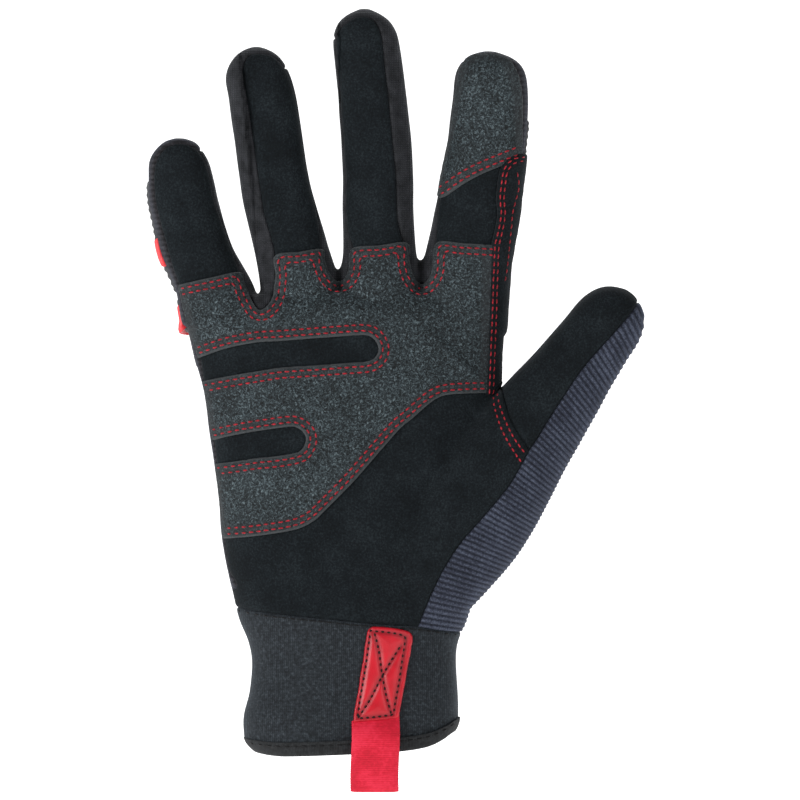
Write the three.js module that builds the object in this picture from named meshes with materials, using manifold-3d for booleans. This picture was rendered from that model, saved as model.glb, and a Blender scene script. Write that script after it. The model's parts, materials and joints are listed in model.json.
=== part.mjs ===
// Impact work glove for the right hand, standing fingers up with its palm forward.
// Millimetres, +Z up, palm towards -Y, thumb towards +X, origin in the middle of the cuff mouth.

import * as THREE from 'three';
import { mergeVertices } from 'three/addons/utils/BufferGeometryUtils.js';
import Module from 'manifold-3d';

const wasm = await Module();
wasm.setup();

// Driving dimensions of the hand shape
const cuffHeight = 45;
const palmLength = 109.3;
const handWidth = 111;
const handDepth = 42;
const cuffWidth = 73;
const cuffDepth = 50;

// Driving dimensions of the fingers: reach above the finger roots, breadth and depth
const pinkyLength = 55;
const pinkyWidth = 24;
const ringLength = 86.4;
const ringWidth = 25;
const middleLength = 99.3;
const middleWidth = 24.5;
const indexLength = 84.7;
const indexWidth = 28;
const fingerDepth = 22.5;
const fingerCurl = 7;

// Driving dimensions of the thumb
const thumbLength = 105;
const thumbWidth = 43;
const thumbDepth = 37;
const thumbAngle = 54;
const thumbForward = 5;

// Thicknesses, and the clearance between sewn pieces
const wall = 1.8;
const gap = 0.3;
const patchThickness = 1.2;
const stripBack = 5;
const thumbSeamBack = 2;
const bindingHeight = 4.8;
const bindingProud = 0.7;
const tabThickness = 1.6;
const guardPlate = 1.2;
const guardRib = 1.5;
const guardPitch = 7.5;
const redBlockThickness = 1.7;
const knucklePlate = 2.2;

// Pull loop of folded ribbon under the tab
const ribbonWidth = 16.2;
const ribbonThickness = 0.9;
const loopDrop = 12;
const loopGap = 1.4;

// Fineness of the lofted rings, and the share of it on the hollow side
const palmSides = 22;
const fingerSides = 12;
const thumbSides = 12;
const innerShare = 2 / 3;

const fingerRoot = cuffHeight + palmLength;
const reach = 4 * handDepth;

// Cuff sections, from the hem up. up: share of cuffHeight. left, right: shares of cuffWidth.
// deep: share of cuffDepth.
const cuffSections = [
  { up: 0, left: 0.485, right: 0.505, deep: 0.98 },
  { up: 0.46, left: 0.468, right: 0.508, deep: 0.97 },
  { up: 0.68, left: 0.458, right: 0.497, deep: 0.93 },
  { up: 0.84, left: 0.476, right: 0.505, deep: 0.92 },
];

// Palm sections, from the cuff seam up. up: share of palmLength.
// left, right: shares of handWidth. deep: share of handDepth.
const palmSections = [
  { up: 0, left: 0.34, right: 0.36, deep: 1.1 },
  { up: 0.15, left: 0.372, right: 0.4, deep: 1.06 },
  { up: 0.26, left: 0.394, right: 0.42, deep: 1.02 },
  { up: 0.48, left: 0.418, right: 0.446, deep: 0.92 },
  { up: 0.71, left: 0.45, right: 0.458, deep: 0.82 },
  { up: 0.82, left: 0.477, right: 0.458, deep: 0.77 },
  { up: 0.93, left: 0.503, right: 0.464, deep: 0.7 },
  { up: 0.98, left: 0.513, right: 0.462, deep: 0.62 },
  { up: 1.015, left: 0.5, right: 0.45, deep: 0.48 },
];

// Finger sections. along, side: shares of the finger's length. wide: share of its width.
// root: share of handWidth from the middle line to the finger's root.
const fingers = {
  pinky: {
    length: pinkyLength, width: pinkyWidth, root: -0.403,
    sections: [
      { along: -0.16, side: 0.02, wide: 1.14 },
      { along: 0.09, side: -0.03, wide: 1.13 },
      { along: 0.31, side: -0.136, wide: 1.06 },
      { along: 0.61, side: -0.214, wide: 0.98 },
      { along: 0.86, side: -0.243, wide: 0.84 },
      { along: 0.93, side: -0.244, wide: 0.66 },
      { along: 0.98, side: -0.237, wide: 0.42 },
    ],
  },
  ring: {
    length: ringLength, width: ringWidth, root: -0.146,
    sections: [
      { along: -0.1, side: 0.01, wide: 1.12 },
      { along: 0.05, side: -0.008, wide: 1.1 },
      { along: 0.27, side: -0.062, wide: 1.02 },
      { along: 0.45, side: -0.106, wide: 0.965 },
      { along: 0.8, side: -0.16, wide: 0.925 },
      { along: 0.87, side: -0.173, wide: 0.905 },
      { along: 0.96, side: -0.178, wide: 0.6 },
      { along: 0.987, side: -0.18, wide: 0.34 },
    ],
  },
  middle: {
    length: middleLength, width: middleWidth, root: 0.092,
    sections: [
      { along: -0.1, side: 0, wide: 1.18 },
      { along: 0.06, side: 0, wide: 1.14 },
      { along: 0.3, side: -0.005, wide: 0.99 },
      { along: 0.67, side: -0.022, wide: 0.962 },
      { along: 0.875, side: -0.044, wide: 0.93 },
      { along: 0.92, side: -0.047, wide: 0.86 },
      { along: 0.96, side: -0.05, wide: 0.67 },
      { along: 0.987, side: -0.052, wide: 0.36 },
    ],
  },
  index: {
    length: indexLength, width: indexWidth, root: 0.343,
    sections: [
      { along: -0.12, side: -0.01, wide: 1.1 },
      { along: 0.05, side: 0.002, wide: 1.09 },
      { along: 0.3, side: 0.047, wide: 1.02 },
      { along: 0.6, side: 0.096, wide: 0.96 },
      { along: 0.9, side: 0.12, wide: 0.86 },
      { along: 0.955, side: 0.117, wide: 0.68 },
      { along: 0.985, side: 0.112, wide: 0.42 },
    ],
  },
};

// Thumb sections. along: share of thumbLength. wide, deep: shares of thumbWidth and thumbDepth.
const thumbSections = [
  { along: -0.3, wide: 0.72, deep: 0.8 },
  { along: -0.12, wide: 0.92, deep: 0.94 },
  { along: 0.08, wide: 1, deep: 1 },
  { along: 0.4, wide: 0.84, deep: 0.84 },
  { along: 0.7, wide: 0.645, deep: 0.66 },
  { along: 0.88, wide: 0.575, deep: 0.59 },
  { along: 0.93, wide: 0.5, deep: 0.51 },
  { along: 0.965, wide: 0.39, deep: 0.4 },
  { along: 0.99, wide: 0.22, deep: 0.23 },
];

// Foot of the thumb, as shares of handWidth across and palmLength above the cuff seam
const thumbFoot = { across: 0.307, up: 0.25 };

// Seams that show from the front. across: share of handWidth. up: share of palmLength.
const knitEdge = [
  { across: 0.33, up: -0.04 },
  { across: 0.212, up: -0.01 },
  { across: 0.236, up: 0.047 },
  { across: 0.28, up: 0.147 },
  { across: 0.4, up: 0.316 },
  { across: 0.483, up: 0.416 },
  { across: 0.574, up: 0.568 },
  { across: 0.691, up: 0.755 },
  { across: 0.809, up: 0.894 },
  { across: 0.885, up: 0.97 },
  { across: 0.9, up: 1.025 },
  { across: 1.05, up: 1.06 },
  { across: 1.05, up: 0.5 },
  { across: 0.6, up: -0.04 },
];
const thumbOutline = [
  { across: 0.5, up: 0.78 },
  { across: 0.458, up: 0.733 },
  { across: 0.468, up: 0.703 },
  { across: 0.483, up: 0.65 },
  { across: 0.51, up: 0.594 },
  { across: 0.555, up: 0.53 },
  { across: 0.62, up: 0.5 },
  { across: 1.05, up: 0.6 },
  { across: 1.05, up: 1.2 },
  { across: 0.68, up: 1.2 },
];

// Grained patch on the palm: its edge, then the two open slots in its outer side
const patchOutline = [
  { across: -0.6, up: 1.05 },
  { across: -0.52, up: 1.047 },
  { across: -0.338, up: 1.086 },
  { across: -0.317, up: 1.031 },
  { across: -0.272, up: 0.962 },
  { across: -0.235, up: 1.006 },
  { across: -0.228, up: 1.137 },
  { across: -0.085, up: 1.156 },
  { across: -0.062, up: 1.071 },
  { across: -0.035, up: 1.052 },
  { across: -0.011, up: 1.071 },
  { across: 0.009, up: 1.158 },
  { across: 0.175, up: 1.177 },
  { across: 0.197, up: 1.063 },
  { across: 0.217, up: 1.045 },
  { across: 0.237, up: 1.059 },
  { across: 0.268, up: 1.175 },
  { across: 0.419, up: 1.171 },
  { across: 0.415, up: 0.95 },
  { across: 0.4, up: 0.709 },
  { across: 0.289, up: 0.701 },
  { across: 0.249, up: 0.681 },
  { across: 0.154, up: 0.598 },
  { across: 0.009, up: 0.431 },
  { across: -0.108, up: 0.313 },
  { across: -0.167, up: 0.286 },
  { across: -0.389, up: 0.256 },
  { across: -0.6, up: 0.24 },
];
const patchSlots = [
  [
    { across: -0.65, up: 0.8 },
    { across: -0.284, up: 0.87 },
    { across: 0.048, up: 0.888 },
    { across: 0.088, up: 0.86 },
    { across: 0.088, up: 0.835 },
    { across: 0.059, up: 0.807 },
    { across: -0.215, up: 0.787 },
    { across: -0.65, up: 0.71 },
  ],
  [
    { across: -0.6, up: 0.54 },
    { across: -0.285, up: 0.59 },
    { across: -0.187, up: 0.604 },
    { across: -0.132, up: 0.566 },
    { across: -0.167, up: 0.523 },
    { across: -0.285, up: 0.507 },
    { across: -0.6, up: 0.475 },
  ],
];

// Reinforcing strip down the thumb side of the index finger
const sideStripOutline = [
  { across: 0.6, up: 1.5 },
  { across: 0.51, up: 1.453 },
  { across: 0.475, up: 1.43 },
  { across: 0.46, up: 1.4 },
  { across: 0.447, up: 1.31 },
  { across: 0.442, up: 1.2 },
  { across: 0.428, up: 1.171 },
  { across: 0.424, up: 0.95 },
  { across: 0.412, up: 0.76 },
  { across: 0.6, up: 0.76 },
];

// Knuckle guard outline across the back, and its raised bars
const knuckleOutline = [
  { across: -0.53, up: 0.83 },
  { across: -0.5, up: 0.73 },
  { across: -0.3, up: 0.76 },
  { across: -0.12, up: 0.79 },
  { across: 0.12, up: 0.8 },
  { across: 0.36, up: 0.77 },
  { across: 0.41, up: 0.84 },
  { across: 0.4, up: 0.96 },
  { across: 0.22, up: 0.99 },
  { across: -0.03, up: 1 },
  { across: -0.27, up: 0.95 },
  { across: -0.4, up: 0.97 },
  { across: -0.56, up: 0.97 },
];
const knuckleBars = [
  { name: 'knuckle_red_pinky', from: -0.54, to: -0.34, low: 0.8, high: 0.92 },
  { name: 'knuckle_red_ring', from: -0.23, to: -0.09, low: 0.84, high: 0.92 },
  { name: 'knuckle_red_middle', from: 0.0, to: 0.14, low: 0.86, high: 0.94 },
  { name: 'knuckle_red_index', from: 0.22, to: 0.35, low: 0.83, high: 0.92 },
];

// Pull tab corners and hem line on the cuff. across: share of cuffWidth. up: share of cuffHeight.
const tabOutline = [
  { across: 0.021, up: 0.268 },
  { across: 0.225, up: 0.305 },
  { across: 0.259, up: 0.576 },
  { across: 0.288, up: 0.88 },
  { across: 0.272, up: 0.93 },
  { across: 0.117, up: 0.962 },
  { across: 0.088, up: 0.945 },
  { across: 0.054, up: 0.645 },
];
const hemLine = [
  { across: -0.6, up: 0.15 },
  { across: -0.48, up: 0.07 },
  { across: -0.4, up: 0 },
  { across: -0.2, up: -0.01 },
  { across: 0.05, up: 0 },
  { across: 0.25, up: 0.03 },
  { across: 0.4, up: 0.09 },
  { across: 0.5, up: 0.2 },
  { across: 0.6, up: 0.25 },
];
const cuffSeam = [
  { across: -0.7, up: 1.11 },
  { across: -0.2, up: 1.05 },
  { across: 0.2, up: 0.99 },
  { across: 0.52, up: 0.9 },
  { across: 0.7, up: 0.87 },
];

// Seam angles round each finger, in degrees from the palm side, positive towards the thumb
const seamAngles = {
  pinky: { left: -58, right: 72 },
  ring: { left: -32, right: 80 },
  middle: { left: -80, right: 32 },
  index: { left: -78, right: 56 },
};
const backSeamAngle = 128;

// Web heights between the fingers, as shares of palmLength above the cuff seam
const webs = [
  { name: 'fourchette_pinky_ring', left: 'pinky', right: 'ring', up: 0.962 },
  { name: 'fourchette_ring_middle', left: 'ring', right: 'middle', up: 1.045 },
  { name: 'fourchette_middle_index', left: 'middle', right: 'index', up: 1.04 },
];

// Guards on the finger backs. low, high: shares of the finger's length, with the red block's own.
// from, to: angles round the finger.
const fingerGuards = [
  { finger: 'pinky', low: 0.1, high: 0.62, redLow: 0.22, redHigh: 0.37, from: 125, to: 290 },
  { finger: 'ring', low: 0.22, high: 0.72, redLow: 0.42, redHigh: 0.53, from: 135, to: 225 },
  { finger: 'middle', low: 0.2, high: 0.72, redLow: 0.42, redHigh: 0.52, from: 135, to: 225 },
  { finger: 'index', low: 0.22, high: 0.7, redLow: 0.456, redHigh: 0.573, from: 75, to: 230 },
];

const materials = {
  suede: new THREE.MeshStandardMaterial({ color: 0x1f2426, roughness: 0.92, metalness: 0 }),
  grained: new THREE.MeshStandardMaterial({ color: 0x485458, roughness: 0.8, metalness: 0 }),
  knit: new THREE.MeshStandardMaterial({ color: 0x2d2e33, roughness: 0.9, metalness: 0 }),
  ribbed: new THREE.MeshStandardMaterial({ color: 0x3e4254, roughness: 0.85, metalness: 0 }),
  neoprene: new THREE.MeshStandardMaterial({ color: 0x282e32, roughness: 0.88, metalness: 0 }),
  binding: new THREE.MeshStandardMaterial({ color: 0x26282a, roughness: 0.9, metalness: 0 }),
  tabLeather: new THREE.MeshStandardMaterial({ color: 0xcd1e32, roughness: 0.4, metalness: 0 }),
  ribbon: new THREE.MeshStandardMaterial({ color: 0xd42032, roughness: 0.7, metalness: 0 }),
  guardGrey: new THREE.MeshStandardMaterial({ color: 0x2a2c30, roughness: 0.55, metalness: 0 }),
  guardRed: new THREE.MeshStandardMaterial({ color: 0xd83a3a, roughness: 0.45, metalness: 0 }),
};

// Turns a closed three.js geometry into a solid
function solid(geometry) {
  const bare = geometry.clone();
  bare.deleteAttribute('normal');
  bare.deleteAttribute('uv');
  const merged = mergeVertices(bare, 1e-4);
  return new wasm.Manifold(new wasm.Mesh({
    numProp: 3,
    vertProperties: new Float32Array(merged.attributes.position.array),
    triVerts: new Uint32Array(merged.index.array),
  }));
}

// Points of one flattened round section, over a range of angles from the palm side
function sectionPoints(section, from, to, count, grow) {
  const points = [];
  const bulge = 2 / section.square;
  for (let i = 0; i < count; i++) {
    const angle = THREE.MathUtils.degToRad(from + (to - from) * i / section.steps - 90);
    const c = Math.cos(angle);
    const s = Math.sin(angle);
    const across = Math.sign(c) * Math.abs(c) ** bulge * (section.halfWidth + grow);
    const back = Math.sign(s) * Math.abs(s) ** bulge * (section.halfDepth + grow);
    points.push(section.centre.clone()
      .addScaledVector(section.across, across)
      .addScaledVector(new THREE.Vector3(0, 1, 0), back));
  }
  return points;
}

// Skins a stack of closed rings, with a fan over each end
function loft(rings, firstPole, lastPole) {
  const sides = rings[0].length;
  const points = rings.flat();
  const faces = [];
  for (let r = 0; r + 1 < rings.length; r++) {
    for (let i = 0; i < sides; i++) {
      const a = r * sides + i;
      const b = r * sides + (i + 1) % sides;
      faces.push(a, b, b + sides, a, b + sides, a + sides);
    }
  }
  const low = points.push(firstPole) - 1;
  const high = points.push(lastPole) - 1;
  const top = (rings.length - 1) * sides;
  for (let i = 0; i < sides; i++) {
    const next = (i + 1) % sides;
    faces.push(low, next, i);
    faces.push(high, top + i, top + next);
  }
  const geometry = new THREE.BufferGeometry();
  geometry.setAttribute('position', new THREE.Float32BufferAttribute(
    points.flatMap((p) => [p.x, p.y, p.z]), 3));
  geometry.setIndex(faces);
  return solid(geometry);
}

function middlePoint(points) {
  const sum = new THREE.Vector3();
  points.forEach((p) => sum.add(p));
  return sum.divideScalar(points.length);
}

// Sections of each form, with the skin moved in or out by the offset
function trunkSections(offset) {
  const rows = [
    ...cuffSections.map((row) => ({
      z: row.up * cuffHeight,
      left: row.left * cuffWidth,
      right: row.right * cuffWidth,
      depth: row.deep * cuffDepth,
    })),
    ...palmSections.map((row) => ({
      z: cuffHeight + row.up * palmLength,
      left: row.left * handWidth,
      right: row.right * handWidth,
      depth: row.deep * handDepth,
    })),
  ];
  rows.unshift({ ...rows[0], z: -bindingHeight });
  return rows.map((row, i) => ({
    centre: new THREE.Vector3(
      (row.right - row.left) / 2, 0, row.z + (i === rows.length - 1 ? offset : 0)),
    across: new THREE.Vector3(1, 0, 0),
    halfWidth: (row.left + row.right) / 2 + offset,
    halfDepth: row.depth / 2 + offset,
    square: 2.4,
    steps: palmSides,
  }));
}

function fingerSections(finger, offset) {
  const length = finger.length + offset;
  return finger.sections.map((row) => ({
    centre: new THREE.Vector3(
      finger.root * handWidth + row.side * finger.length,
      1 - fingerCurl * Math.max(row.along, 0) ** 1.6,
      fingerRoot + row.along * length),
    across: new THREE.Vector3(1, 0, 0),
    halfWidth: row.wide * finger.width / 2 + offset,
    halfDepth: row.wide * fingerDepth / 2 + offset,
    square: 2.3,
    steps: fingerSides,
  }));
}

const thumbTilt = THREE.MathUtils.degToRad(thumbAngle);
const thumbAxis = new THREE.Vector3(Math.cos(thumbTilt), 0, Math.sin(thumbTilt));
const thumbAcross = new THREE.Vector3(Math.sin(thumbTilt), 0, -Math.cos(thumbTilt));
const thumbRoot = new THREE.Vector3(
  thumbFoot.across * handWidth, -thumbForward, cuffHeight + thumbFoot.up * palmLength);

function thumbRings(offset) {
  return thumbSections.map((row) => ({
    centre: thumbRoot.clone().addScaledVector(thumbAxis, row.along * (thumbLength + offset)),
    across: thumbAcross,
    halfWidth: row.wide * thumbWidth / 2 + offset,
    halfDepth: row.deep * thumbDepth / 2 + offset,
    square: 2.2,
    steps: thumbSides,
  }));
}

function fullRing(section) {
  return sectionPoints(section, 0, 360, section.steps, 0);
}

function fewerSides(sections, inside) {
  const share = inside ? innerShare : 1;
  return sections.map((section) => ({ ...section, steps: 2 * Math.round(section.steps * share / 2) }));
}

function fingerForm(finger, offset) {
  const rings = fewerSides(fingerSections(finger, offset), offset < 0);
  const last = rings[rings.length - 1].centre.clone();
  last.z = fingerRoot + finger.length + offset;
  return loft(rings.map(fullRing), rings[0].centre, last);
}

function handForm(offset) {
  const trunk = fewerSides(trunkSections(offset), offset < 0);
  const thumb = fewerSides(thumbRings(offset), offset < 0);
  const thumbEnd = thumbRoot.clone().addScaledVector(thumbAxis, thumbLength + offset);
  let form = loft(trunk.map(fullRing), trunk[0].centre, trunk[trunk.length - 1].centre);
  form = form.add(loft(thumb.map(fullRing), thumb[0].centre, thumbEnd));
  for (const finger of Object.values(fingers)) {
    form = form.add(fingerForm(finger, offset));
  }
  return form;
}

// Moves every corner of a closed outline outwards, mitred so that each side keeps its distance
function growOutline(points, grow) {
  const turn = Math.sign(THREE.ShapeUtils.area(points)) * grow;
  const outward = (a, b) => {
    const side = b.clone().sub(a).normalize();
    return new THREE.Vector2(side.y, -side.x);
  };
  return points.map((p, i) => {
    const before = outward(points[(i + points.length - 1) % points.length], p);
    const after = outward(p, points[(i + 1) % points.length]);
    const mitre = before.clone().add(after).divideScalar(1 + Math.max(before.dot(after), -0.7));
    return p.clone().addScaledVector(mitre, turn);
  });
}

// Wedge of a finger between two angles, a little proud of its skin
function fingerWedge(name, from, to, grow) {
  const proud = 2.5;
  const setBack = 0.4;
  const sections = fingerSections(fingers[name], 0);
  const tip = sections[sections.length - 1];
  sections.push({ ...tip, centre: tip.centre.clone().setZ(tip.centre.z + 2 * proud) });
  const steps = Math.max(4, Math.ceil((to - from) / 22));
  const bisector = THREE.MathUtils.degToRad((from + to) / 2);
  const rows = sections.map((section) => {
    const heart = section.centre.clone();
    heart.x -= Math.sin(bisector) * setBack;
    heart.y += Math.cos(bisector) * setBack;
    const ring = [heart, ...sectionPoints({ ...section, steps }, from, to, steps + 1, proud)];
    return growOutline(ring.map((p) => new THREE.Vector2(p.x, p.y)), grow)
      .map((p) => new THREE.Vector3(p.x, p.y, section.centre.z));
  });
  return loft(rows, middlePoint(rows[0]), middlePoint(rows[rows.length - 1]));
}

// Block with an outline seen from the front, between two depths
function frontPrism(points, near, far) {
  const geometry = new THREE.ExtrudeGeometry(new THREE.Shape(points), {
    depth: far - near, bevelEnabled: false, steps: 1,
  });
  geometry.rotateX(Math.PI / 2);
  geometry.translate(0, far, 0);
  return solid(geometry);
}

function onPalm(row) {
  return new THREE.Vector2(row.across * handWidth, cuffHeight + row.up * palmLength);
}

function onCuff(row) {
  return new THREE.Vector2(row.across * cuffWidth, row.up * cuffHeight);
}

function slab(low, high) {
  const points = [[-reach, low], [reach, low], [reach, high], [-reach, high]];
  return frontPrism(points.map(([x, z]) => new THREE.Vector2(x, z)), -reach, reach);
}

// The largest body of a cut piece, without the crumbs that a cutter leaves
function mainBody(piece) {
  const bodies = piece.decompose();
  bodies.sort((a, b) => b.volume() - a.volume());
  return bodies[0];
}

function mesh(name, piece, material) {
  const data = mainBody(piece).getMesh();
  const geometry = new THREE.BufferGeometry();
  geometry.setAttribute('position', new THREE.Float32BufferAttribute(data.vertProperties, 3));
  geometry.setIndex(Array.from(data.triVerts));
  geometry.computeVertexNormals();
  const made = new THREE.Mesh(geometry, material);
  made.name = name;
  return made;
}

const glove = new THREE.Group();

// Shell of the whole glove, hollow and open at the cuff
const outer = handForm(0);
const shell = outer.subtract(handForm(-wall));

// Region above the cuff seam, and the knit that comes round from the back on the thumb side
const seamLine = cuffSeam.map(onCuff);
function aboveSeam(lift) {
  const line = seamLine.map((p) => new THREE.Vector2(p.x, p.y + lift));
  const top = 2 * (fingerRoot + middleLength);
  const last = line[line.length - 1];
  return frontPrism([
    new THREE.Vector2(-reach, line[0].y), ...line, new THREE.Vector2(reach, last.y),
    new THREE.Vector2(reach, top), new THREE.Vector2(-reach, top),
  ], -reach, reach);
}
function knitFront(grow) {
  return frontPrism(growOutline(knitEdge.map(onPalm), grow), -reach, thumbSeamBack + 5 * gap);
}
function thumbFront(grow) {
  return frontPrism(growOutline(thumbOutline.map(onPalm), grow), -reach, thumbSeamBack + grow);
}

// Front half of the palm with the finger fronts
const palmSideDepth = 0;
function palmRegion(grow) {
  const points = [[-reach, -reach], [reach, -reach], [reach, fingerRoot], [-reach, fingerRoot]];
  let region = frontPrism(points.map(([x, z]) => new THREE.Vector2(x, z)),
    -reach, palmSideDepth + grow);
  for (const [name, seams] of Object.entries(seamAngles)) {
    region = region.add(fingerWedge(name, seams.left, seams.right, grow));
  }
  return region;
}

// Fourchette between two fingers: the facing sides and the web that joins them
function fourchetteRegion(web, grow) {
  const sides = fingerWedge(web.left, seamAngles[web.left].right + 3, backSeamAngle, grow)
    .add(fingerWedge(web.right, -backSeamAngle, seamAngles[web.right].left - 3, grow));
  const low = cuffHeight + web.up * palmLength - grow;
  return sides.intersect(slab(low, 2 * fingerRoot + middleLength));
}

const upper = shell.intersect(aboveSeam(gap / 2));
let fourchettesGrown = null;
for (const web of webs) {
  let piece = upper.intersect(fourchetteRegion(web, 0));
  if (fourchettesGrown) {
    piece = piece.subtract(fourchettesGrown);
  }
  glove.add(mesh(web.name, piece, materials.knit));
  const grown = fourchetteRegion(web, gap);
  fourchettesGrown = fourchettesGrown ? fourchettesGrown.add(grown) : grown;
}

glove.add(mesh('thumb_panel',
  upper.intersect(thumbFront(0)).subtract(knitFront(gap)), materials.suede));

glove.add(mesh('palm_panel',
  upper.intersect(palmRegion(0))
    .subtract(fourchettesGrown)
    .subtract(knitFront(gap))
    .subtract(thumbFront(gap)), materials.suede));

glove.add(mesh('back_panel',
  upper.subtract(palmRegion(gap).add(thumbFront(gap)))
    .add(upper.intersect(knitFront(0)))
    .subtract(fourchettesGrown), materials.ribbed));

// Cuff and its hem binding
const hem = hemLine.map(onCuff);
function hemBand(low, high) {
  const under = hem.map((p) => new THREE.Vector2(p.x, p.y + low));
  const over = hem.map((p) => new THREE.Vector2(p.x, p.y + high)).reverse();
  return frontPrism([...under, ...over], -reach, reach);
}
glove.add(mesh('cuff',
  shell.subtract(aboveSeam(-gap / 2)).subtract(hemBand(-cuffHeight, bindingHeight + gap)),
  materials.neoprene));
const bindingForm = handForm(bindingProud).subtract(handForm(-wall - bindingProud));
glove.add(mesh('cuff_binding',
  bindingForm.intersect(hemBand(0, bindingHeight)), materials.binding));

// Flat pieces sewn on the outside lie on the skin with a small gap
const skinOut = handForm(gap);
const patchSkin = handForm(gap + patchThickness).subtract(skinOut);

let patch = patchSkin.intersect(frontPrism(patchOutline.map(onPalm), -reach, palmSideDepth - 1));
for (const slot of patchSlots) {
  patch = patch.subtract(frontPrism(slot.map(onPalm), -reach, reach));
}
glove.add(mesh('palm_patch', patch, materials.grained));

// Index fingertip patch, cut on a slant
const tipLow = { left: 0.43, right: 0.57 };
const tipEdge = [
  [-1, tipLow.left], [1, tipLow.right], [1, 1.2], [-1, 1.2],
].map(([across, along]) => new THREE.Vector2(
  fingers.index.root * handWidth + across * indexWidth + 0.1 * indexLength,
  fingerRoot + along * indexLength));
const tipSeams = fingerWedge('index', seamAngles.index.left, seamAngles.index.right, 0);
glove.add(mesh('index_tip_patch',
  patchSkin.intersect(frontPrism(tipEdge, -reach, reach)).intersect(tipSeams),
  materials.grained));

// Reinforcing strip on the index side, kept clear of the patches and of the guard behind it
const indexGuard = fingerGuards.find((guard) => guard.finger === 'index');
const indexHeight = (share) => fingerRoot + share * indexLength;
const guardRoom = fingerWedge('index', indexGuard.from, indexGuard.to, gap)
  .intersect(slab(indexHeight(indexGuard.low) - gap, indexHeight(indexGuard.high) + gap));
glove.add(mesh('index_side_patch',
  patchSkin.intersect(frontPrism(sideStripOutline.map(onPalm), -reach, stripBack))
    .subtract(frontPrism(growOutline(thumbOutline.map(onPalm), gap), -reach, reach))
    .subtract(fingerWedge('index', seamAngles.index.left, seamAngles.index.right, gap)
      .intersect(frontPrism(growOutline(tipEdge, gap), -reach, reach)))
    .subtract(guardRoom),
  materials.suede));

// Pull tab sewn on the cuff front
const tabSkin = handForm(gap + tabThickness).subtract(skinOut);
glove.add(mesh('pull_tab_patch',
  tabSkin.intersect(frontPrism(tabOutline.map(onCuff), -reach, 0)), materials.tabLeather));

// Pull loop: a ribbon folded in two, seen from the side as a long closed eye
const tabFoot = tabOutline[0].up * cuffHeight;
const loopMiddle = 0.5 * (tabOutline[0].across + tabOutline[1].across) * cuffWidth;
const loopBack = -(cuffDepth / 2 + bindingProud + gap);
const eyeWidth = 2 * ribbonThickness + loopGap;
function eyeShape(inset) {
  const half = eyeWidth / 2 - inset;
  const shape = new THREE.Shape();
  const low = -loopDrop + eyeWidth / 2;
  shape.moveTo(half, tabFoot - gap - inset);
  shape.lineTo(-half, tabFoot - gap - inset);
  shape.lineTo(-half, low);
  shape.absarc(0, low, half, Math.PI, 2 * Math.PI, false);
  shape.lineTo(half, tabFoot - gap - inset);
  return shape;
}
const eye = eyeShape(0);
const eyeHole = eyeShape(ribbonThickness);
const loopGeometry = (shape) => {
  const geometry = new THREE.ExtrudeGeometry(shape, {
    depth: ribbonWidth, bevelEnabled: false, steps: 1, curveSegments: 6,
  });
  geometry.rotateX(Math.PI / 2);
  geometry.rotateZ(Math.PI / 2);
  geometry.translate(loopMiddle - ribbonWidth / 2, loopBack - eyeWidth / 2, 0);
  return solid(geometry);
};
glove.add(mesh('pull_loop',
  loopGeometry(eye).subtract(loopGeometry(eyeHole).scale([1.2, 1, 1])), materials.ribbon));

// Finger guards: a thin plate with cross ribs, and a red block between them
for (const guard of fingerGuards) {
  const finger = fingers[guard.finger];
  const height = (share) => fingerRoot + share * finger.length;
  const wedge = fingerWedge(guard.finger, guard.from, guard.to, 0);
  const plateTop = gap + guardPlate;
  const base = fingerForm(finger, plateTop).subtract(fingerForm(finger, gap));
  const raised = fingerForm(finger, plateTop + guardRib).subtract(fingerForm(finger, gap));
  let piece = base.intersect(slab(height(guard.low), height(guard.high)));
  for (let z = height(guard.low); z + guardPitch / 2 < height(guard.high); z += guardPitch) {
    const nearRed = z + guardPitch / 2 + gap > height(guard.redLow) && z - gap < height(guard.redHigh);
    if (!nearRed) {
      piece = piece.add(raised.intersect(slab(z, z + guardPitch / 2)));
    }
  }
  glove.add(mesh(`guard_${guard.finger}`, piece.intersect(wedge), materials.guardGrey));
  const block = fingerForm(finger, plateTop + gap + redBlockThickness)
    .subtract(fingerForm(finger, plateTop + gap))
    .intersect(slab(height(guard.redLow), height(guard.redHigh)))
    .intersect(wedge);
  glove.add(mesh(`guard_${guard.finger}_red`, block, materials.guardRed));
}

// Knuckle guard across the back, with its red bars
const knuckleTop = gap + knucklePlate;
const knuckleSkin = handForm(knuckleTop);
glove.add(mesh('knuckle_guard',
  knuckleSkin.subtract(skinOut)
    .intersect(frontPrism(knuckleOutline.map(onPalm), 2 * gap, reach)),
  materials.guardGrey));
const barSkin = handForm(knuckleTop + gap + redBlockThickness).subtract(handForm(knuckleTop + gap));
for (const bar of knuckleBars) {
  const corners = [
    { across: bar.from, up: bar.low }, { across: bar.to, up: bar.low },
    { across: bar.to, up: bar.high }, { across: bar.from, up: bar.high },
  ];
  glove.add(mesh(bar.name,
    barSkin.intersect(frontPrism(corners.map(onPalm), 2 * gap, reach)), materials.guardRed));
}

export default glove;
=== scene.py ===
import json
import math

import bmesh
import bpy
import numpy as np
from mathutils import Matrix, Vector, bvhtree, kdtree, noise

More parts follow.
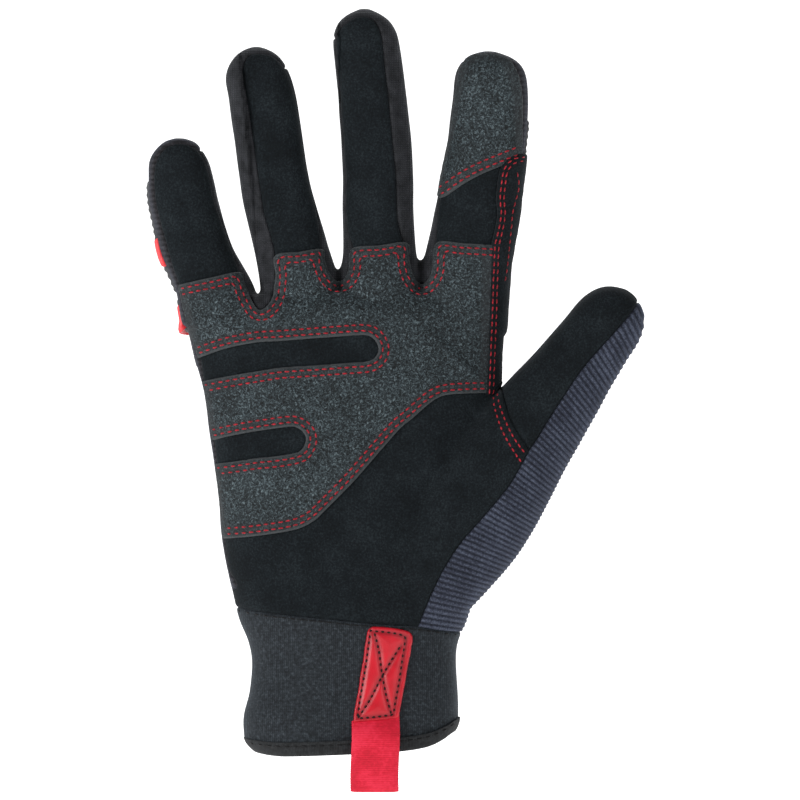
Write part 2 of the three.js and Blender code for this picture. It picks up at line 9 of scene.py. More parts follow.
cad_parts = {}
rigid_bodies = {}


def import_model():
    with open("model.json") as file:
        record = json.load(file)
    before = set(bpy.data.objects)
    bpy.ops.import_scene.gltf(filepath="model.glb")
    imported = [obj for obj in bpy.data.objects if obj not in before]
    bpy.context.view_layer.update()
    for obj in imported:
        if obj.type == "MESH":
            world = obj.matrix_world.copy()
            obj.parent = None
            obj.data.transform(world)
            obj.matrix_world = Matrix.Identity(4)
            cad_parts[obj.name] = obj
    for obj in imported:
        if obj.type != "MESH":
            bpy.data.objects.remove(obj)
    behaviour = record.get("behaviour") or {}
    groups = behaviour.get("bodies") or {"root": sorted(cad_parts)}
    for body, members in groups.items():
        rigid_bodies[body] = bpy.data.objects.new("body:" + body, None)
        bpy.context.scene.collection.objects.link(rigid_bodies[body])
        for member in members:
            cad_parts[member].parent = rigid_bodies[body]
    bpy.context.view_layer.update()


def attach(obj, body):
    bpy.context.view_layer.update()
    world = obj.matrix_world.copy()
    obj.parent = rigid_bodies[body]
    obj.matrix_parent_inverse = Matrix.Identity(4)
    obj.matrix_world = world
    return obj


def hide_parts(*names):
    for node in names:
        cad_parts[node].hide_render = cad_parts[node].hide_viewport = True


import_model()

# Camera, floor and light. A long lens looks square on at the palm side and the middle of the
# glove, over a pale floor that runs up into a backdrop. Soft lamps stand in front on both
# sides and high up behind.
MM = 0.001
VIEW_CENTRE = Vector((17.1 * MM, 0.0, 120.2 * MM))
VIEW_WIDTH = 273.1 * MM
CAMERA_DISTANCE = 2.4
SENSOR_WIDTH = 36.0
FLOOR_LEVEL = -0.045
SKY_COLOUR = (0.93, 0.95, 0.97, 1.0)
SKY_STRENGTH = 0.31

camera_data = bpy.data.cameras.new("camera")
camera_data.sensor_width = SENSOR_WIDTH
camera_data.lens = SENSOR_WIDTH * CAMERA_DISTANCE / VIEW_WIDTH
camera_data.clip_end = 50.0
camera = bpy.data.objects.new("camera", camera_data)
camera.location = VIEW_CENTRE + Vector((0.0, -CAMERA_DISTANCE, 0.0))
camera.rotation_euler = (math.radians(90), 0.0, 0.0)
bpy.context.scene.collection.objects.link(camera)
bpy.context.scene.camera = camera
bpy.context.scene.view_settings.view_transform = "Standard"


def linear(red, green, blue):
    """Colour as a screen shows it, 0 to 255, as the light values that a shader takes."""
    shares = [value / 255 for value in (red, green, blue)]
    out = [share / 12.92 if share <= 0.04045 else ((share + 0.055) / 1.055) ** 2.4 for share in shares]
    return (*out, 1.0)


world = bpy.data.worlds.new("studio")
world.use_nodes = True
sky = world.node_tree.nodes["Background"]
sky.inputs["Color"].default_value = SKY_COLOUR
sky.inputs["Strength"].default_value = SKY_STRENGTH
bpy.context.scene.world = world


def soft_lamp(name, place, size, power):
    data = bpy.data.lights.new(name, "AREA")
    data.shape = "RECTANGLE"
    data.size, data.size_y = size
    data.energy = power
    lamp = bpy.data.objects.new(name, data)
    lamp.location = place
    lamp.rotation_euler = (VIEW_CENTRE - Vector(place)).to_track_quat("-Z", "Y").to_euler()
    bpy.context.scene.collection.objects.link(lamp)


soft_lamp("key_left", (-0.9, -0.75, 0.3), (0.5, 0.8), 12.0)
soft_lamp("fill_right", (0.8, -0.8, 0.5), (0.4, 0.8), 3.5)
soft_lamp("back_top", (0.1, 0.7, 0.9), (0.8, 0.4), 6.0)

FLOOR_FROM = -4.0
SWEEP_FROM = 3.0
SWEEP_RADIUS = 1.4
SWEEP_HALF_WIDTH = 5.0
SWEEP_TOP = 4.5
FLOOR_GLOW = 0.85
sweep_side = [(FLOOR_FROM, 0.0), (SWEEP_FROM, 0.0)]
sweep_side += [(SWEEP_FROM + SWEEP_RADIUS * math.sin(t), SWEEP_RADIUS * (1 - math.cos(t)))
               for t in np.linspace(0, math.pi / 2, 40)[1:]]
sweep_side.append((SWEEP_FROM + SWEEP_RADIUS, SWEEP_TOP))
floor_bm = bmesh.new()
edges = [[floor_bm.verts.new((x, y, FLOOR_LEVEL + z)) for y, z in sweep_side]
         for x in (-SWEEP_HALF_WIDTH, SWEEP_HALF_WIDTH)]
for k in range(len(sweep_side) - 1):
    floor_bm.faces.new((edges[0][k], edges[1][k], edges[1][k + 1], edges[0][k + 1]))
floor_mesh = bpy.data.meshes.new("floor")
floor_bm.to_mesh(floor_mesh)
floor_bm.free()
floor_mesh.shade_smooth()
floor = bpy.data.objects.new("floor", floor_mesh)
bpy.context.scene.collection.objects.link(floor)
floor_paint = bpy.data.materials.new("floor_paint")
floor_paint.use_nodes = True
floor_shader = floor_paint.node_tree.nodes["Principled BSDF"]
floor_shader.inputs["Base Color"].default_value = (0.88, 0.88, 0.88, 1.0)
floor_shader.inputs["Roughness"].default_value = 0.9
floor_shader.inputs["Emission Color"].default_value = (1.0, 1.0, 1.0, 1.0)
floor_shader.inputs["Emission Strength"].default_value = FLOOR_GLOW
floor_mesh.materials.append(floor_paint)

# Palm panel of black synthetic suede. One skin runs from the cuff seam up the front of all
# four fingers. The filled form of the whole glove, which every panel lies on, is made here.
CUFF_HEIGHT = 45 * MM
PALM_LENGTH = 109.3 * MM
HAND_WIDTH = 111 * MM
HAND_DEPTH = 42 * MM
CUFF_WIDTH = 73 * MM
CUFF_DEPTH = 50 * MM
FINGER_ROOT = CUFF_HEIGHT + PALM_LENGTH
FINGER_DEPTH = 22.5 * MM
FINGER_CURL = 7 * MM
THUMB_LENGTH = 105 * MM
THUMB_WIDTH = 43 * MM
THUMB_DEPTH = 37 * MM
THUMB_TILT = math.radians(54)
THUMB_FOOT = Vector((0.307 * HAND_WIDTH, -5 * MM, CUFF_HEIGHT + 0.25 * PALM_LENGTH))
TRUNK_SQUARE = 2.4
FINGER_SQUARE = 2.3
THUMB_SQUARE = 2.2
FORM_VOXEL = 0.85 * MM
SLIVER = 0.14 * MM
SCRAP_FACES = 60
WALL = 1.5 * MM
FAR = 300 * MM

# Rows of up, left, right and deep, as shares of the cuff's or the palm's sizes
CUFF_ROWS = [
    (-0.12, 0.485, 0.505, 0.98), (0, 0.485, 0.505, 0.98), (0.26, 0.496, 0.51, 1.0),
    (0.46, 0.468, 0.508, 0.97), (0.68, 0.458, 0.497, 0.93), (0.84, 0.476, 0.505, 0.92),
]
PALM_ROWS = [
    (0.0, 0.34, 0.36, 1.1), (0.15, 0.372, 0.4, 1.06), (0.26, 0.394, 0.42, 1.02),
    (0.37, 0.404, 0.435, 0.97), (0.48, 0.418, 0.446, 0.92), (0.595, 0.434, 0.455, 0.87),
    (0.71, 0.45, 0.458, 0.82), (0.82, 0.477, 0.458, 0.77), (0.93, 0.503, 0.464, 0.7),
    (0.98, 0.513, 0.462, 0.62), (1.015, 0.5, 0.45, 0.48),
]
# Each finger's length, width and root, then rows of along, side and wide as shares of them
FINGERS = {
    "pinky": (55 * MM, 24 * MM, -0.403, [
        (-0.16, 0.02, 1.14), (0.09, -0.03, 1.13), (0.31, -0.136, 1.06), (0.46, -0.178, 1.01),
        (0.61, -0.214, 0.98), (0.76, -0.231, 0.91), (0.86, -0.243, 0.84), (0.93, -0.244, 0.66),
        (0.98, -0.237, 0.42), (0.997, -0.237, 0.16)]),
    "ring": (86.4 * MM, 25 * MM, -0.146, [
        (-0.1, 0.01, 1.12), (0.05, -0.008, 1.1), (0.15, -0.03, 1.06), (0.27, -0.062, 1.02),
        (0.45, -0.106, 0.965), (0.625, -0.133, 0.942), (0.8, -0.16, 0.925), (0.87, -0.173, 0.905),
        (0.92, -0.178, 0.79), (0.96, -0.178, 0.6), (0.987, -0.18, 0.34), (0.998, -0.18, 0.13)]),
    "middle": (99.3 * MM, 24.5 * MM, 0.092, [
        (-0.1, 0, 1.18), (0.06, 0, 1.14), (0.16, 0, 1.04), (0.3, -0.005, 0.99), (0.5, -0.009, 0.985),
        (0.67, -0.022, 0.962), (0.8, -0.035, 0.948), (0.875, -0.044, 0.93), (0.92, -0.047, 0.86),
        (0.96, -0.05, 0.67), (0.987, -0.052, 0.36), (0.998, -0.052, 0.14)]),
    "index": (84.7 * MM, 28 * MM, 0.343, [
        (-0.12, -0.01, 1.1), (0.05, 0.002, 1.09), (0.16, 0.018, 1.05), (0.3, 0.047, 1.02),
        (0.45, 0.074, 0.985), (0.6, 0.096, 0.96), (0.74, 0.11, 0.94), (0.84, 0.118, 0.9),
        (0.91, 0.119, 0.84), (0.955, 0.117, 0.68), (0.985, 0.112, 0.42), (0.998, 0.112, 0.15)]),
}
# Rows of along, wide and deep, as shares of the thumb's sizes
THUMB_ROWS = [
    (-0.3, 0.72, 0.8), (-0.12, 0.92, 0.94), (0.08, 1, 1), (0.25, 0.94, 0.95), (0.4, 0.84, 0.84),
    (0.55, 0.74, 0.74), (0.7, 0.645, 0.66), (0.8, 0.6, 0.62), (0.88, 0.575, 0.59),
    (0.93, 0.5, 0.51), (0.965, 0.39, 0.4), (0.99, 0.22, 0.23), (0.998, 0.1, 0.1),
]


def between(rows, share):
    """Row of a table at any share of its first column, on a smooth curve through its rows."""
    last = len(rows) - 1
    low = max(i for i in range(last) if i == 0 or rows[i][0] <= share)
    span = rows[low + 1][0] - rows[low][0]
    t = min(max((share - rows[low][0]) / span, 0.0), 1.0)
    out = []
    for column in range(1, len(rows[0])):
        a, b = rows[low][column], rows[low + 1][column]
        before, after = rows[max(low - 1, 0)], rows[min(low + 2, last)]
        slope_a = (b - before[column]) / (rows[low + 1][0] - before[0]) * span
        slope_b = (after[column] - a) / (after[0] - rows[low][0]) * span
        out.append(a * (1 + 2 * t) * (1 - t) ** 2 + slope_a * t * (1 - t) ** 2
                   + b * t * t * (3 - 2 * t) - slope_b * t * t * (1 - t))
    return out


def stations(rows, count):
    first, last = rows[0][0], rows[-1][0]
    return [first + (last - first) * i / (count - 1) for i in range(count)]


def section_loop(bm, centre, across, half_width, half_depth, square, sides):
    """One flattened round section of the form, as a loop of edges."""
    made = bmesh.ops.create_circle(bm, cap_ends=False, radius=1.0, segments=sides)
    for vert in made["verts"]:
        c, s = vert.co.x, vert.co.y
        out = across * (math.copysign(abs(c) ** (2 / square), c) * half_width)
        out.y += math.copysign(abs(s) ** (2 / square), s) * half_depth
        vert.co = centre + out
    return list({edge for vert in made["verts"] for edge in vert.link_edges})


def skin_loops(bm, loops):
    """Bridges a stack of loops and closes its two ends."""
    for low, high in zip(loops, loops[1:]):
        bmesh.ops.bridge_loops(bm, edges=low + high)
    for end in (loops[0], loops[-1]):
        bmesh.ops.contextual_create(bm, geom=end)


def as_object(bm, name):
    mesh = bpy.data.meshes.new(name)
    bm.to_mesh(mesh)
    bm.free()
    obj = bpy.data.objects.new(name, mesh)
    bpy.context.scene.collection.objects.link(obj)
    return obj


def run_modifiers(obj):
    """Turns what an object's modifiers make into its own mesh."""
    graph = bpy.context.evaluated_depsgraph_get()
    mesh = bpy.data.meshes.new_from_object(obj.evaluated_get(graph))
    obj.modifiers.clear()
    obj.data = mesh


SIDEWAYS = Vector((1, 0, 0))
THUMB_AXIS = Vector((math.cos(THUMB_TILT), 0, math.sin(THUMB_TILT)))
THUMB_SIDE = Vector((math.sin(THUMB_TILT), 0, -math.cos(THUMB_TILT)))
form_bm = bmesh.new()
trunk_rows = [(up * CUFF_HEIGHT, left * CUFF_WIDTH, right * CUFF_WIDTH, deep * CUFF_DEPTH)
              for up, left, right, deep in CUFF_ROWS]
trunk_rows += [(CUFF_HEIGHT + up * PALM_LENGTH, left * HAND_WIDTH, right * HAND_WIDTH, deep * HAND_DEPTH)
               for up, left, right, deep in PALM_ROWS]
loops = []
for height in stations(trunk_rows, 70):
    left, right, depth = between(trunk_rows, height)
    middle = Vector(((right - left) / 2, 0, height))
    loops.append(section_loop(
        form_bm, middle, SIDEWAYS, (left + right) / 2, depth / 2, TRUNK_SQUARE, 72))
skin_loops(form_bm, loops)
for length, width, root, rows in FINGERS.values():
    loops = []
    for along in stations(rows, 70):
        side, wide = between(rows, along)
        middle = Vector((root * HAND_WIDTH + side * length, 1 * MM, FINGER_ROOT + along * length))
        loops.append(section_loop(
            form_bm, middle, SIDEWAYS, wide * width / 2, wide * FINGER_DEPTH / 2, FINGER_SQUARE, 48))
    skin_loops(form_bm, loops)
loops = []
for along in stations(THUMB_ROWS, 80):
    wide, deep = between(THUMB_ROWS, along)
    loops.append(section_loop(form_bm, THUMB_FOOT + THUMB_AXIS * along * THUMB_LENGTH, THUMB_SIDE,
                              wide * THUMB_WIDTH / 2, deep * THUMB_DEPTH / 2, THUMB_SQUARE, 56))
skin_loops(form_bm, loops)
bmesh.ops.recalc_face_normals(form_bm, faces=form_bm.faces)
form = as_object(form_bm, "form")
fuse = form.modifiers.new("fuse", "REMESH")
fuse.mode = "VOXEL"
fuse.voxel_size = FORM_VOXEL
ease = form.modifiers.new("ease", "SMOOTH")
ease.factor = 0.5
ease.iterations = 8
run_modifiers(form)


def flowing(points, step=1.0):
    """Points in millimetres joined by one smooth line, with a point every step or so."""
    ends = [points[0], *points, points[-1]]
    line = []
    for a, b, c, d in zip(ends, ends[1:], ends[2:], ends[3:]):
        parts = max(1, round(math.dist(b, c) / step))
        for i in range(parts):
            t = i / parts
            weights = (-t + 2 * t ** 2 - t ** 3, 2 - 5 * t ** 2 + 3 * t ** 3, t + 4 * t ** 2 - 3 * t ** 3,
                       t ** 3 - t ** 2)
            line.append(tuple(sum(w * p[k] for w, p in zip(weights, (a, b, c, d))) / 2 for k in (0, 1)))
    return [*line, points[-1]]


def front_block(outline, near, far):
    """Cutter with an outline seen from the front, in millimetres, between two depths."""
    bm = bmesh.new()
    face = bm.faces.new([bm.verts.new((x * MM, near, z * MM)) for x, z in outline])
    made = bmesh.ops.extrude_face_region(bm, geom=[face])
    moved = [v for v in made["geom"] if isinstance(v, bmesh.types.BMVert)]
    bmesh.ops.translate(bm, verts=moved, vec=(0, far - near, 0))
    bmesh.ops.triangulate(bm, faces=bm.faces)
    bmesh.ops.recalc_face_normals(bm, faces=bm.faces)
    for face in bm.faces:
        face.material_index = 1
    return as_object(bm, "cutter")


def copy_of(obj, name):
    twin = bpy.data.objects.new(name, obj.data.copy())
    bpy.context.scene.collection.objects.link(twin)
    return twin


def cut(obj, cutter, operation):
    mod = obj.modifiers.new("cut", "BOOLEAN")
    mod.operation = operation
    mod.solver = "MANIFOLD"
    mod.material_mode = "INDEX"
    mod.object = cutter
    run_modifiers(obj)


# Places read off the photograph, in its pixels, and how they become millimetres
MM_PER_PIXEL = 0.3414
PIXEL_MIDDLE = 350
PIXEL_HEM = 752


def seen(points, step=1.0):
    return flowing([((x - PIXEL_MIDDLE) * MM_PER_PIXEL, (PIXEL_HEM - y) * MM_PER_PIXEL)
                    for x, y in points], step)


CUFF_SEAM = [(150, 596), (235.7, 607), (271, 612), (325, 617), (369.6, 621.6), (418.8, 624.8)]
CUFF_SEAM_END = [(418.8, 624.8), (462.5, 632.3), (560, 640)]
KNIT_EDGE_LOW = [(418.8, 624.8), (426.8, 605), (441, 573), (459, 544), (480.4, 519), (507, 487),
                 (523.8, 459), (529, 449)]
KNIT_EDGE_HIGH = [(529, 449), (536.5, 438.6), (549, 418), (562, 398), (574.8, 378.6), (587.5, 362),
                  (613, 334), (629.6, 315), (638.6, 302), (641, 290)]
SADDLE_SEAM = [(529, 449), (516, 430), (507, 412), (502, 395), (499.5, 385.6)]
INDEX_SIDE = [(499.5, 385.6), (508, 372), (510, 340), (512, 300), (516, 262), (511, 240), (514, 220),
              (517, 200), (519, 180), (521, 155), (521.5, 120), (521, 95), (518, 78)]
INDEX_TIP = [(518, 78), (510, 63), (500, 57.5), (488, 56), (475, 58), (465, 64), (459, 75)]
INDEX_WEB = [(459, 75), (456, 94), (452, 118), (449, 142), (445, 166), (441, 190), (437, 214), (435, 238),
             (436, 257), (432, 271.5), (427, 281), (420.5, 284), (414, 279.6), (410, 267.5), (407, 250),
             (401, 232), (398, 214), (396.5, 178), (393, 142), (389.7, 106), (386, 70), (383.5, 46),
             (381.5, 34)]
MIDDLE_TIP = [(381.5, 34), (376, 23), (367, 17.5), (355, 18.5), (343, 27), (337, 38)]
MIDDLE_WEB = [(337, 38), (336, 52), (338, 70), (341, 106), (343, 142), (345, 178), (345.5, 214),
              (348, 234), (352.5, 250), (351, 265), (346.5, 277), (338.5, 281.6), (330, 277), (325, 265),
              (322.4, 250), (321, 234), (317.5, 214), (309, 178), (303, 142), (297, 106), (291.5, 82),
              (286, 70)]
RING_TIP = [(286, 70), (277, 59.5), (266, 54.5), (254, 54.5), (246, 60), (242.5, 71)]
RING_WEB = [(242.5, 71), (243.8, 84), (248, 106), (253.3, 142), (258.6, 178), (263.9, 214),
            (270.5, 238), (274.5, 254), (275.5, 270), (273.5, 296), (268, 306), (261.5, 310.4),
            (257, 308), (247, 290), (242, 274), (236.5, 260), (229.5, 240), (223, 222), (216.3, 202),
            (211.4, 178), (207, 163)]
PINKY_TIP = [(207, 163), (199, 151), (187, 144.5), (176, 144.5), (165, 150), (157, 161)]
PINKY_SIDE = [(157, 161), (154.4, 178), (155.5, 200), (159.6, 220), (166, 243), (173.7, 270.5),
              (179.3, 287), (187.4, 322), (199.5, 358), (203.3, 381), (208.5, 410), (213.4, 440),
              (216, 463.5), (222, 510), (225.5, 545), (230, 570), (231, 590), (150, 596)]
palm_outline = []
for stretch in (CUFF_SEAM, KNIT_EDGE_LOW, SADDLE_SEAM, INDEX_SIDE, INDEX_TIP, INDEX_WEB, MIDDLE_TIP,
                MIDDLE_WEB, RING_TIP, RING_WEB, PINKY_TIP, PINKY_SIDE):
    palm_outline += seen(stretch)[:-1]
palm_front = front_block(palm_outline, -FAR, 0.0)
palm_through = front_block(palm_outline, -FAR, FAR)


def unseam(obj):
    """Leaves only the part of the form's own skin, without the faces that the cutters made."""
    bm = bmesh.new()
    bm.from_mesh(obj.data)
    bmesh.ops.delete(bm, geom=[f for f in bm.faces if f.material_index == 1], context="FACES")
    bmesh.ops.remove_doubles(bm, verts=bm.verts, dist=SLIVER)
    bmesh.ops.dissolve_degenerate(bm, edges=bm.edges, dist=SLIVER)
    seen_faces = set()
    scraps = []
    for face in bm.faces:
        if face in seen_faces:
            continue
        island, front = {face}, [face]
        while front:
            for edge in front.pop().edges:
                for other in edge.link_faces:
                    if other not in island:
                        island.add(other)
                        front.append(other)
        seen_faces |= island
        if len(island) < SCRAP_FACES:
            scraps += island
    bmesh.ops.delete(bm, geom=scraps, context="FACES")
    bmesh.ops.delete(bm, geom=[v for v in bm.verts if not v.link_faces], context="VERTS")
    bmesh.ops.triangulate(bm, faces=[f for f in bm.faces if len(f.verts) > 4])
    bm.to_mesh(obj.data)
    bm.free()
    obj.data.materials.clear()


def from_edge(mesh, reach):
    """How far each point of a mesh lies from its open edges, up to a reach."""
    bm = bmesh.new()
    bm.from_mesh(mesh)
    rim = [(e.verts[0].co.copy(), e.verts[1].co.copy()) for e in bm.edges if e.is_boundary]
    bm.free()
    tree = kdtree.KDTree(len(rim) * 4)
    for i, (a, b) in enumerate(rim):
        for k in range(4):
            tree.insert(a.lerp(b, k / 4), i * 4 + k)
    tree.balance()
    return np.array([min(tree.find(v.co)[2], reach) for v in mesh.vertices])


def places_of(mesh):
    out = np.empty(len(mesh.vertices) * 3)
    mesh.vertices.foreach_get("co", out)
    return out.reshape(-1, 3)


form_places = places_of(form.data)
form_outward = np.empty(len(form.data.vertices) * 3)
form.data.vertex_normals.foreach_get("vector", form_outward)
form_outward = form_outward.reshape(-1, 3)
form_tree = kdtree.KDTree(len(form_places))
for index, place in enumerate(form_places):
    form_tree.insert(place, index)
form_tree.balance()


def outward_at(places):
    """Smooth outward directions of the form's skin, near any points on it."""
    near = np.array([[found[1] for found in form_tree.find_n(place, 7)] for place in places])
    out = form_outward[near].sum(axis=1)
    return out / np.linalg.norm(out, axis=1)[:, None]


FINGER_LEAN = 0.12
CURL_POWER = 1.6
THUMB_FROM = 66 * MM
ASIDE_FROM = 0.55
EDGE_REACH = 8 * MM
PUCKER_FROM_EDGE = 2.4 * MM
PUCKER_HALF_BREADTH = 1.6 * MM
PUCKERS_PER_METRE = 420.0
# Soft dents all over, as how many to a metre and how high in millimetres
DENTS = [(38.0, 0.5), (110.0, 0.16)]
# Creases of the palm as their two ends in pixels of the photograph, height and half breadth
CREASES = [
    ((486, 386), (436, 338), 0.55, 1.7), ((484, 392), (438, 368), -0.5, 2.0),
    ((478, 372), (430, 322), -0.35, 1.8), ((506, 408), (560, 372), -0.5, 3.0),
    ((244, 300), (262, 330), -0.4, 2.6), ((338, 292), (344, 322), -0.35, 2.4),
    ((420, 296), (416, 326), -0.35, 2.4), ((240, 596), (300, 574), -0.4, 3.0),
    ((452, 598), (400, 588), -0.4, 3.4),
]


def settle(places, outward):
    """Lays points of any layer as the filled glove hangs: dents first, then the fingers' curl."""
    swell = np.array([sum(noise.noise(Vector(p) * often) * high for often, high in DENTS) for p in places])
    for (ax, ay), (bx, by), rise, breadth in CREASES:
        start = np.array(((ax - PIXEL_MIDDLE) * MM_PER_PIXEL, (PIXEL_HEM - ay) * MM_PER_PIXEL))
        along = np.array((bx - ax, ay - by)) * MM_PER_PIXEL
        from_start = places[:, [0, 2]] / MM - start
        share = np.clip(from_start @ along / (along @ along), 0, 1)
        gap = np.linalg.norm(from_start - share[:, None] * along, axis=1)
        fading = np.exp(-(gap / breadth) ** 2) * np.sin(math.pi * (0.15 + 0.7 * share))
        swell += rise * fading * (outward[:, 1] < 0)
    places = places + outward * (swell * MM)[:, None]
    z = places[:, 2]
    on_finger = places[:, 0] < THUMB_FROM
    middles = {name: root * HAND_WIDTH for name, (_, _, root, _) in FINGERS.items()}
    spread = np.array([[abs(x - m - FINGER_LEAN * (h - FINGER_ROOT) * (m / (0.4 * HAND_WIDTH)))
                        for m in middles.values()] for x, h in zip(places[:, 0], z)])
    lengths = np.array([FINGERS[name][0] for name in FINGERS])[np.argmin(spread, axis=1)]
    along = np.clip((z - FINGER_ROOT) / lengths, 0.0, 1.1) * on_finger
    places[:, 1] -= FINGER_CURL * along ** CURL_POWER
    return places


def dress(obj, material, lift=0.0, roll=1.3 * MM, sink=0.85 * MM, wall=WALL, tuck=0.0, pucker=0.0,
          relief=None):
    """Turns a cut piece of skin into a cloth wall with edges rolled down into the seams.

    Tuck is the share of its lift and wall that a layer loses where it turns into a side seam. A
    relief is a function that raises the outer skin by a pattern, once its edges are halved.
    """
    inner = places_of(obj.data)
    bm = bmesh.new()
    bm.from_mesh(obj.data)
    skin = [[v.index for v in f.verts] for f in bm.faces]
    rim = [(e.link_loops[0].vert.index, e.link_loops[0].link_loop_next.vert.index)
           for e in bm.edges if e.is_boundary]
    if relief:
        bmesh.ops.subdivide_edges(bm, edges=bm.edges, cuts=1, use_grid_fill=True)
        bm.verts.index_update()
    bm.to_mesh(obj.data)
    follow = {e.link_loops[0].vert.index: e.link_loops[0].link_loop_next.vert.index
              for e in bm.edges if e.is_boundary}
    bm.free()
    outer = places_of(obj.data)
    faces = [list(p.vertices) for p in obj.data.polygons]
    outward, inner_outward = outward_at(outer), outward_at(inner)
    edge = from_edge(obj.data, EDGE_REACH)
    fall = 1 - np.sqrt(np.clip(1 - (1 - np.clip(edge / roll, 0, 1)) ** 2, 0, 1))
    aside = np.clip((np.abs(outward[:, 0]) - ASIDE_FROM) / (1 - ASIDE_FROM), 0, 1)
    kept = 1 - tuck * aside
    rise = lift * kept - sink * fall
    below = rise - wall * kept
    if pucker:
        near = np.exp(-((edge - PUCKER_FROM_EDGE) / PUCKER_HALF_BREADTH) ** 2)
        rise += pucker * near * np.array([noise.noise(Vector(p) * PUCKERS_PER_METRE) for p in outer])
    inner = settle(inner + inner_outward * below[:len(inner), None], inner_outward)
    extra = {}
    if relief:
        height, extra = relief(outer, edge)
        rise += height * kept
    outer = settle(outer + outward * rise[:, None], outward)
    count = len(outer)
    faces += [[count + i for i in reversed(f)] for f in skin]
    for a, b in rim:
        between_two = follow.get(a, b)
        upper = [b, a] if between_two == b else [b, between_two, a]
        faces.append([*upper, count + a, count + b])
    mesh = bpy.data.meshes.new(obj.name)
    mesh.from_pydata(np.concatenate([outer, inner]).tolist(), [], faces)
    obj.data = mesh
    for key, values in {"edge": edge / MM, **extra}.items():
        both = np.concatenate([values, values[:len(inner)]])
        mesh.attributes.new(key, "FLOAT", "POINT").data.foreach_set("value", both)
    mesh.materials.append(material)
    mesh.shade_smooth()


def tree_of(name):
    """A new material with its node maker: make(kind, settings, inputs) adds a node and wires it."""
    material = bpy.data.materials.new(name)
    material.use_nodes = True
    tree = material.node_tree
    shader = tree.nodes["Principled BSDF"]

    def make(kind, settings=None, **inputs):
        node = tree.nodes.new(kind)
        for key, value in (settings or {}).items():
            setattr(node, key, value)
        for key, value in inputs.items():
            plug(node, key.replace("_", " "), value)
        return node

    def plug(node, key, value):
        socket = node.inputs[int(key)] if key.isdigit() else node.inputs[key]
        if isinstance(value, bpy.types.NodeSocket):
            tree.links.new(value, socket)
        else:
            socket.default_value = value

    return material, shader, make, plug


def ramp(make, factor, stops):
    """Colours blended along a factor, each from its own stop."""
    node = make("ShaderNodeValToRGB", Fac=factor)
    elements = node.color_ramp.elements
    while len(elements) < len(stops):
        elements.new(0.5)
    for element, (place, colour) in zip(elements, stops):
        element.position = place
        element.color = colour if len(colour) == 4 else (*colour, 1.0)
    return node.outputs["Color"]


def maths(make, operation, *values):
    """What a maths node makes of its inputs."""
    inputs = {str(place): value for place, value in enumerate(values)}
    return make("ShaderNodeMath", {"operation": operation}, **inputs).outputs[0]


def suede_cloth():
    """Short-napped synthetic suede: near black, mottled, with a faint cool sheen."""
    material, shader, make, plug = tree_of("suede")
    where = make("ShaderNodeTexCoord").outputs["Object"]
    cloud = make("ShaderNodeTexNoise", Vector=where, Scale=90.0, Detail=4.0).outputs["Fac"]
    nap = make("ShaderNodeTexNoise", Vector=where, Scale=1500.0, Detail=3.0, Roughness=0.7).outputs["Fac"]
    tone = maths(make, "MULTIPLY", cloud, 0.3)
    both = maths(make, "MULTIPLY_ADD", nap, 0.7, tone)
    plug(shader, "Base Color", ramp(make, both, [
        (0.36, linear(7, 10, 12)), (0.5, linear(14, 19, 22)), (0.66, linear(30, 36, 39))]))
    bump = make("ShaderNodeBump", Height=nap, Strength=0.55, Distance=0.00025)
    plug(shader, "Normal", bump.outputs["Normal"])
    plug(shader, "Roughness", 0.93)
    plug(shader, "Sheen Weight", 0.06)
    plug(shader, "Sheen Roughness", 0.45)
    plug(shader, "Sheen Tint", linear(150, 160, 170))
    plug(shader, "Specular IOR Level", 0.12)
    return material


suede = suede_cloth()
palm = copy_of(form, "palm_panel_suede")
cut(palm, palm_front, "INTERSECT")
unseam(palm)
dress(palm, suede)
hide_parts("palm_panel")
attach(palm, "root")

# Thumb panel of the same suede: the front of the thumb, sewn to the palm along the saddle
# seam and to the knit down its outer side.
THUMB_EDGE = [(641, 290), (648, 268), (592, 268), (545, 306), (492, 372), (499.5, 385.6)]
thumb_outline = []
for stretch in (list(reversed(SADDLE_SEAM)), KNIT_EDGE_HIGH, THUMB_EDGE):
    thumb_outline += seen(stretch)[:-1]
thumb_front = front_block(thumb_outline, -FAR, 2 * MM)
thumb = copy_of(form, "thumb_panel_suede")
cut(thumb, thumb_front, "INTERSECT")
cut(thumb, palm_front, "DIFFERENCE")
unseam(thumb)
dress(thumb, suede)
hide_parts("thumb_panel")
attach(thumb, "root")

# Three fourchettes of dark stretch knit. Each one lines the facing sides of two fingers and
# runs over the web between them, and wraps a little over the fingertips.
FOURCHETTE_DEPTH = 6 * MM
PINKY_LINE = [(210, 40), (206, 120), (201, 158), (194, 180), (189, 205), (197, 250), (215, 290), (235, 320)]
RING_LINE = [(318, 40), (292, 62), (280, 84), (272, 142), (282, 214), (296, 262), (304, 296)]
MIDDLE_LINE = [(318, 30), (336, 40), (358, 62), (374, 142), (378.5, 214), (380, 262), (382, 296)]
INDEX_LINE = [(462, 20), (464, 60), (472, 94), (474, 142), (472, 214), (466, 262), (455, 296)]


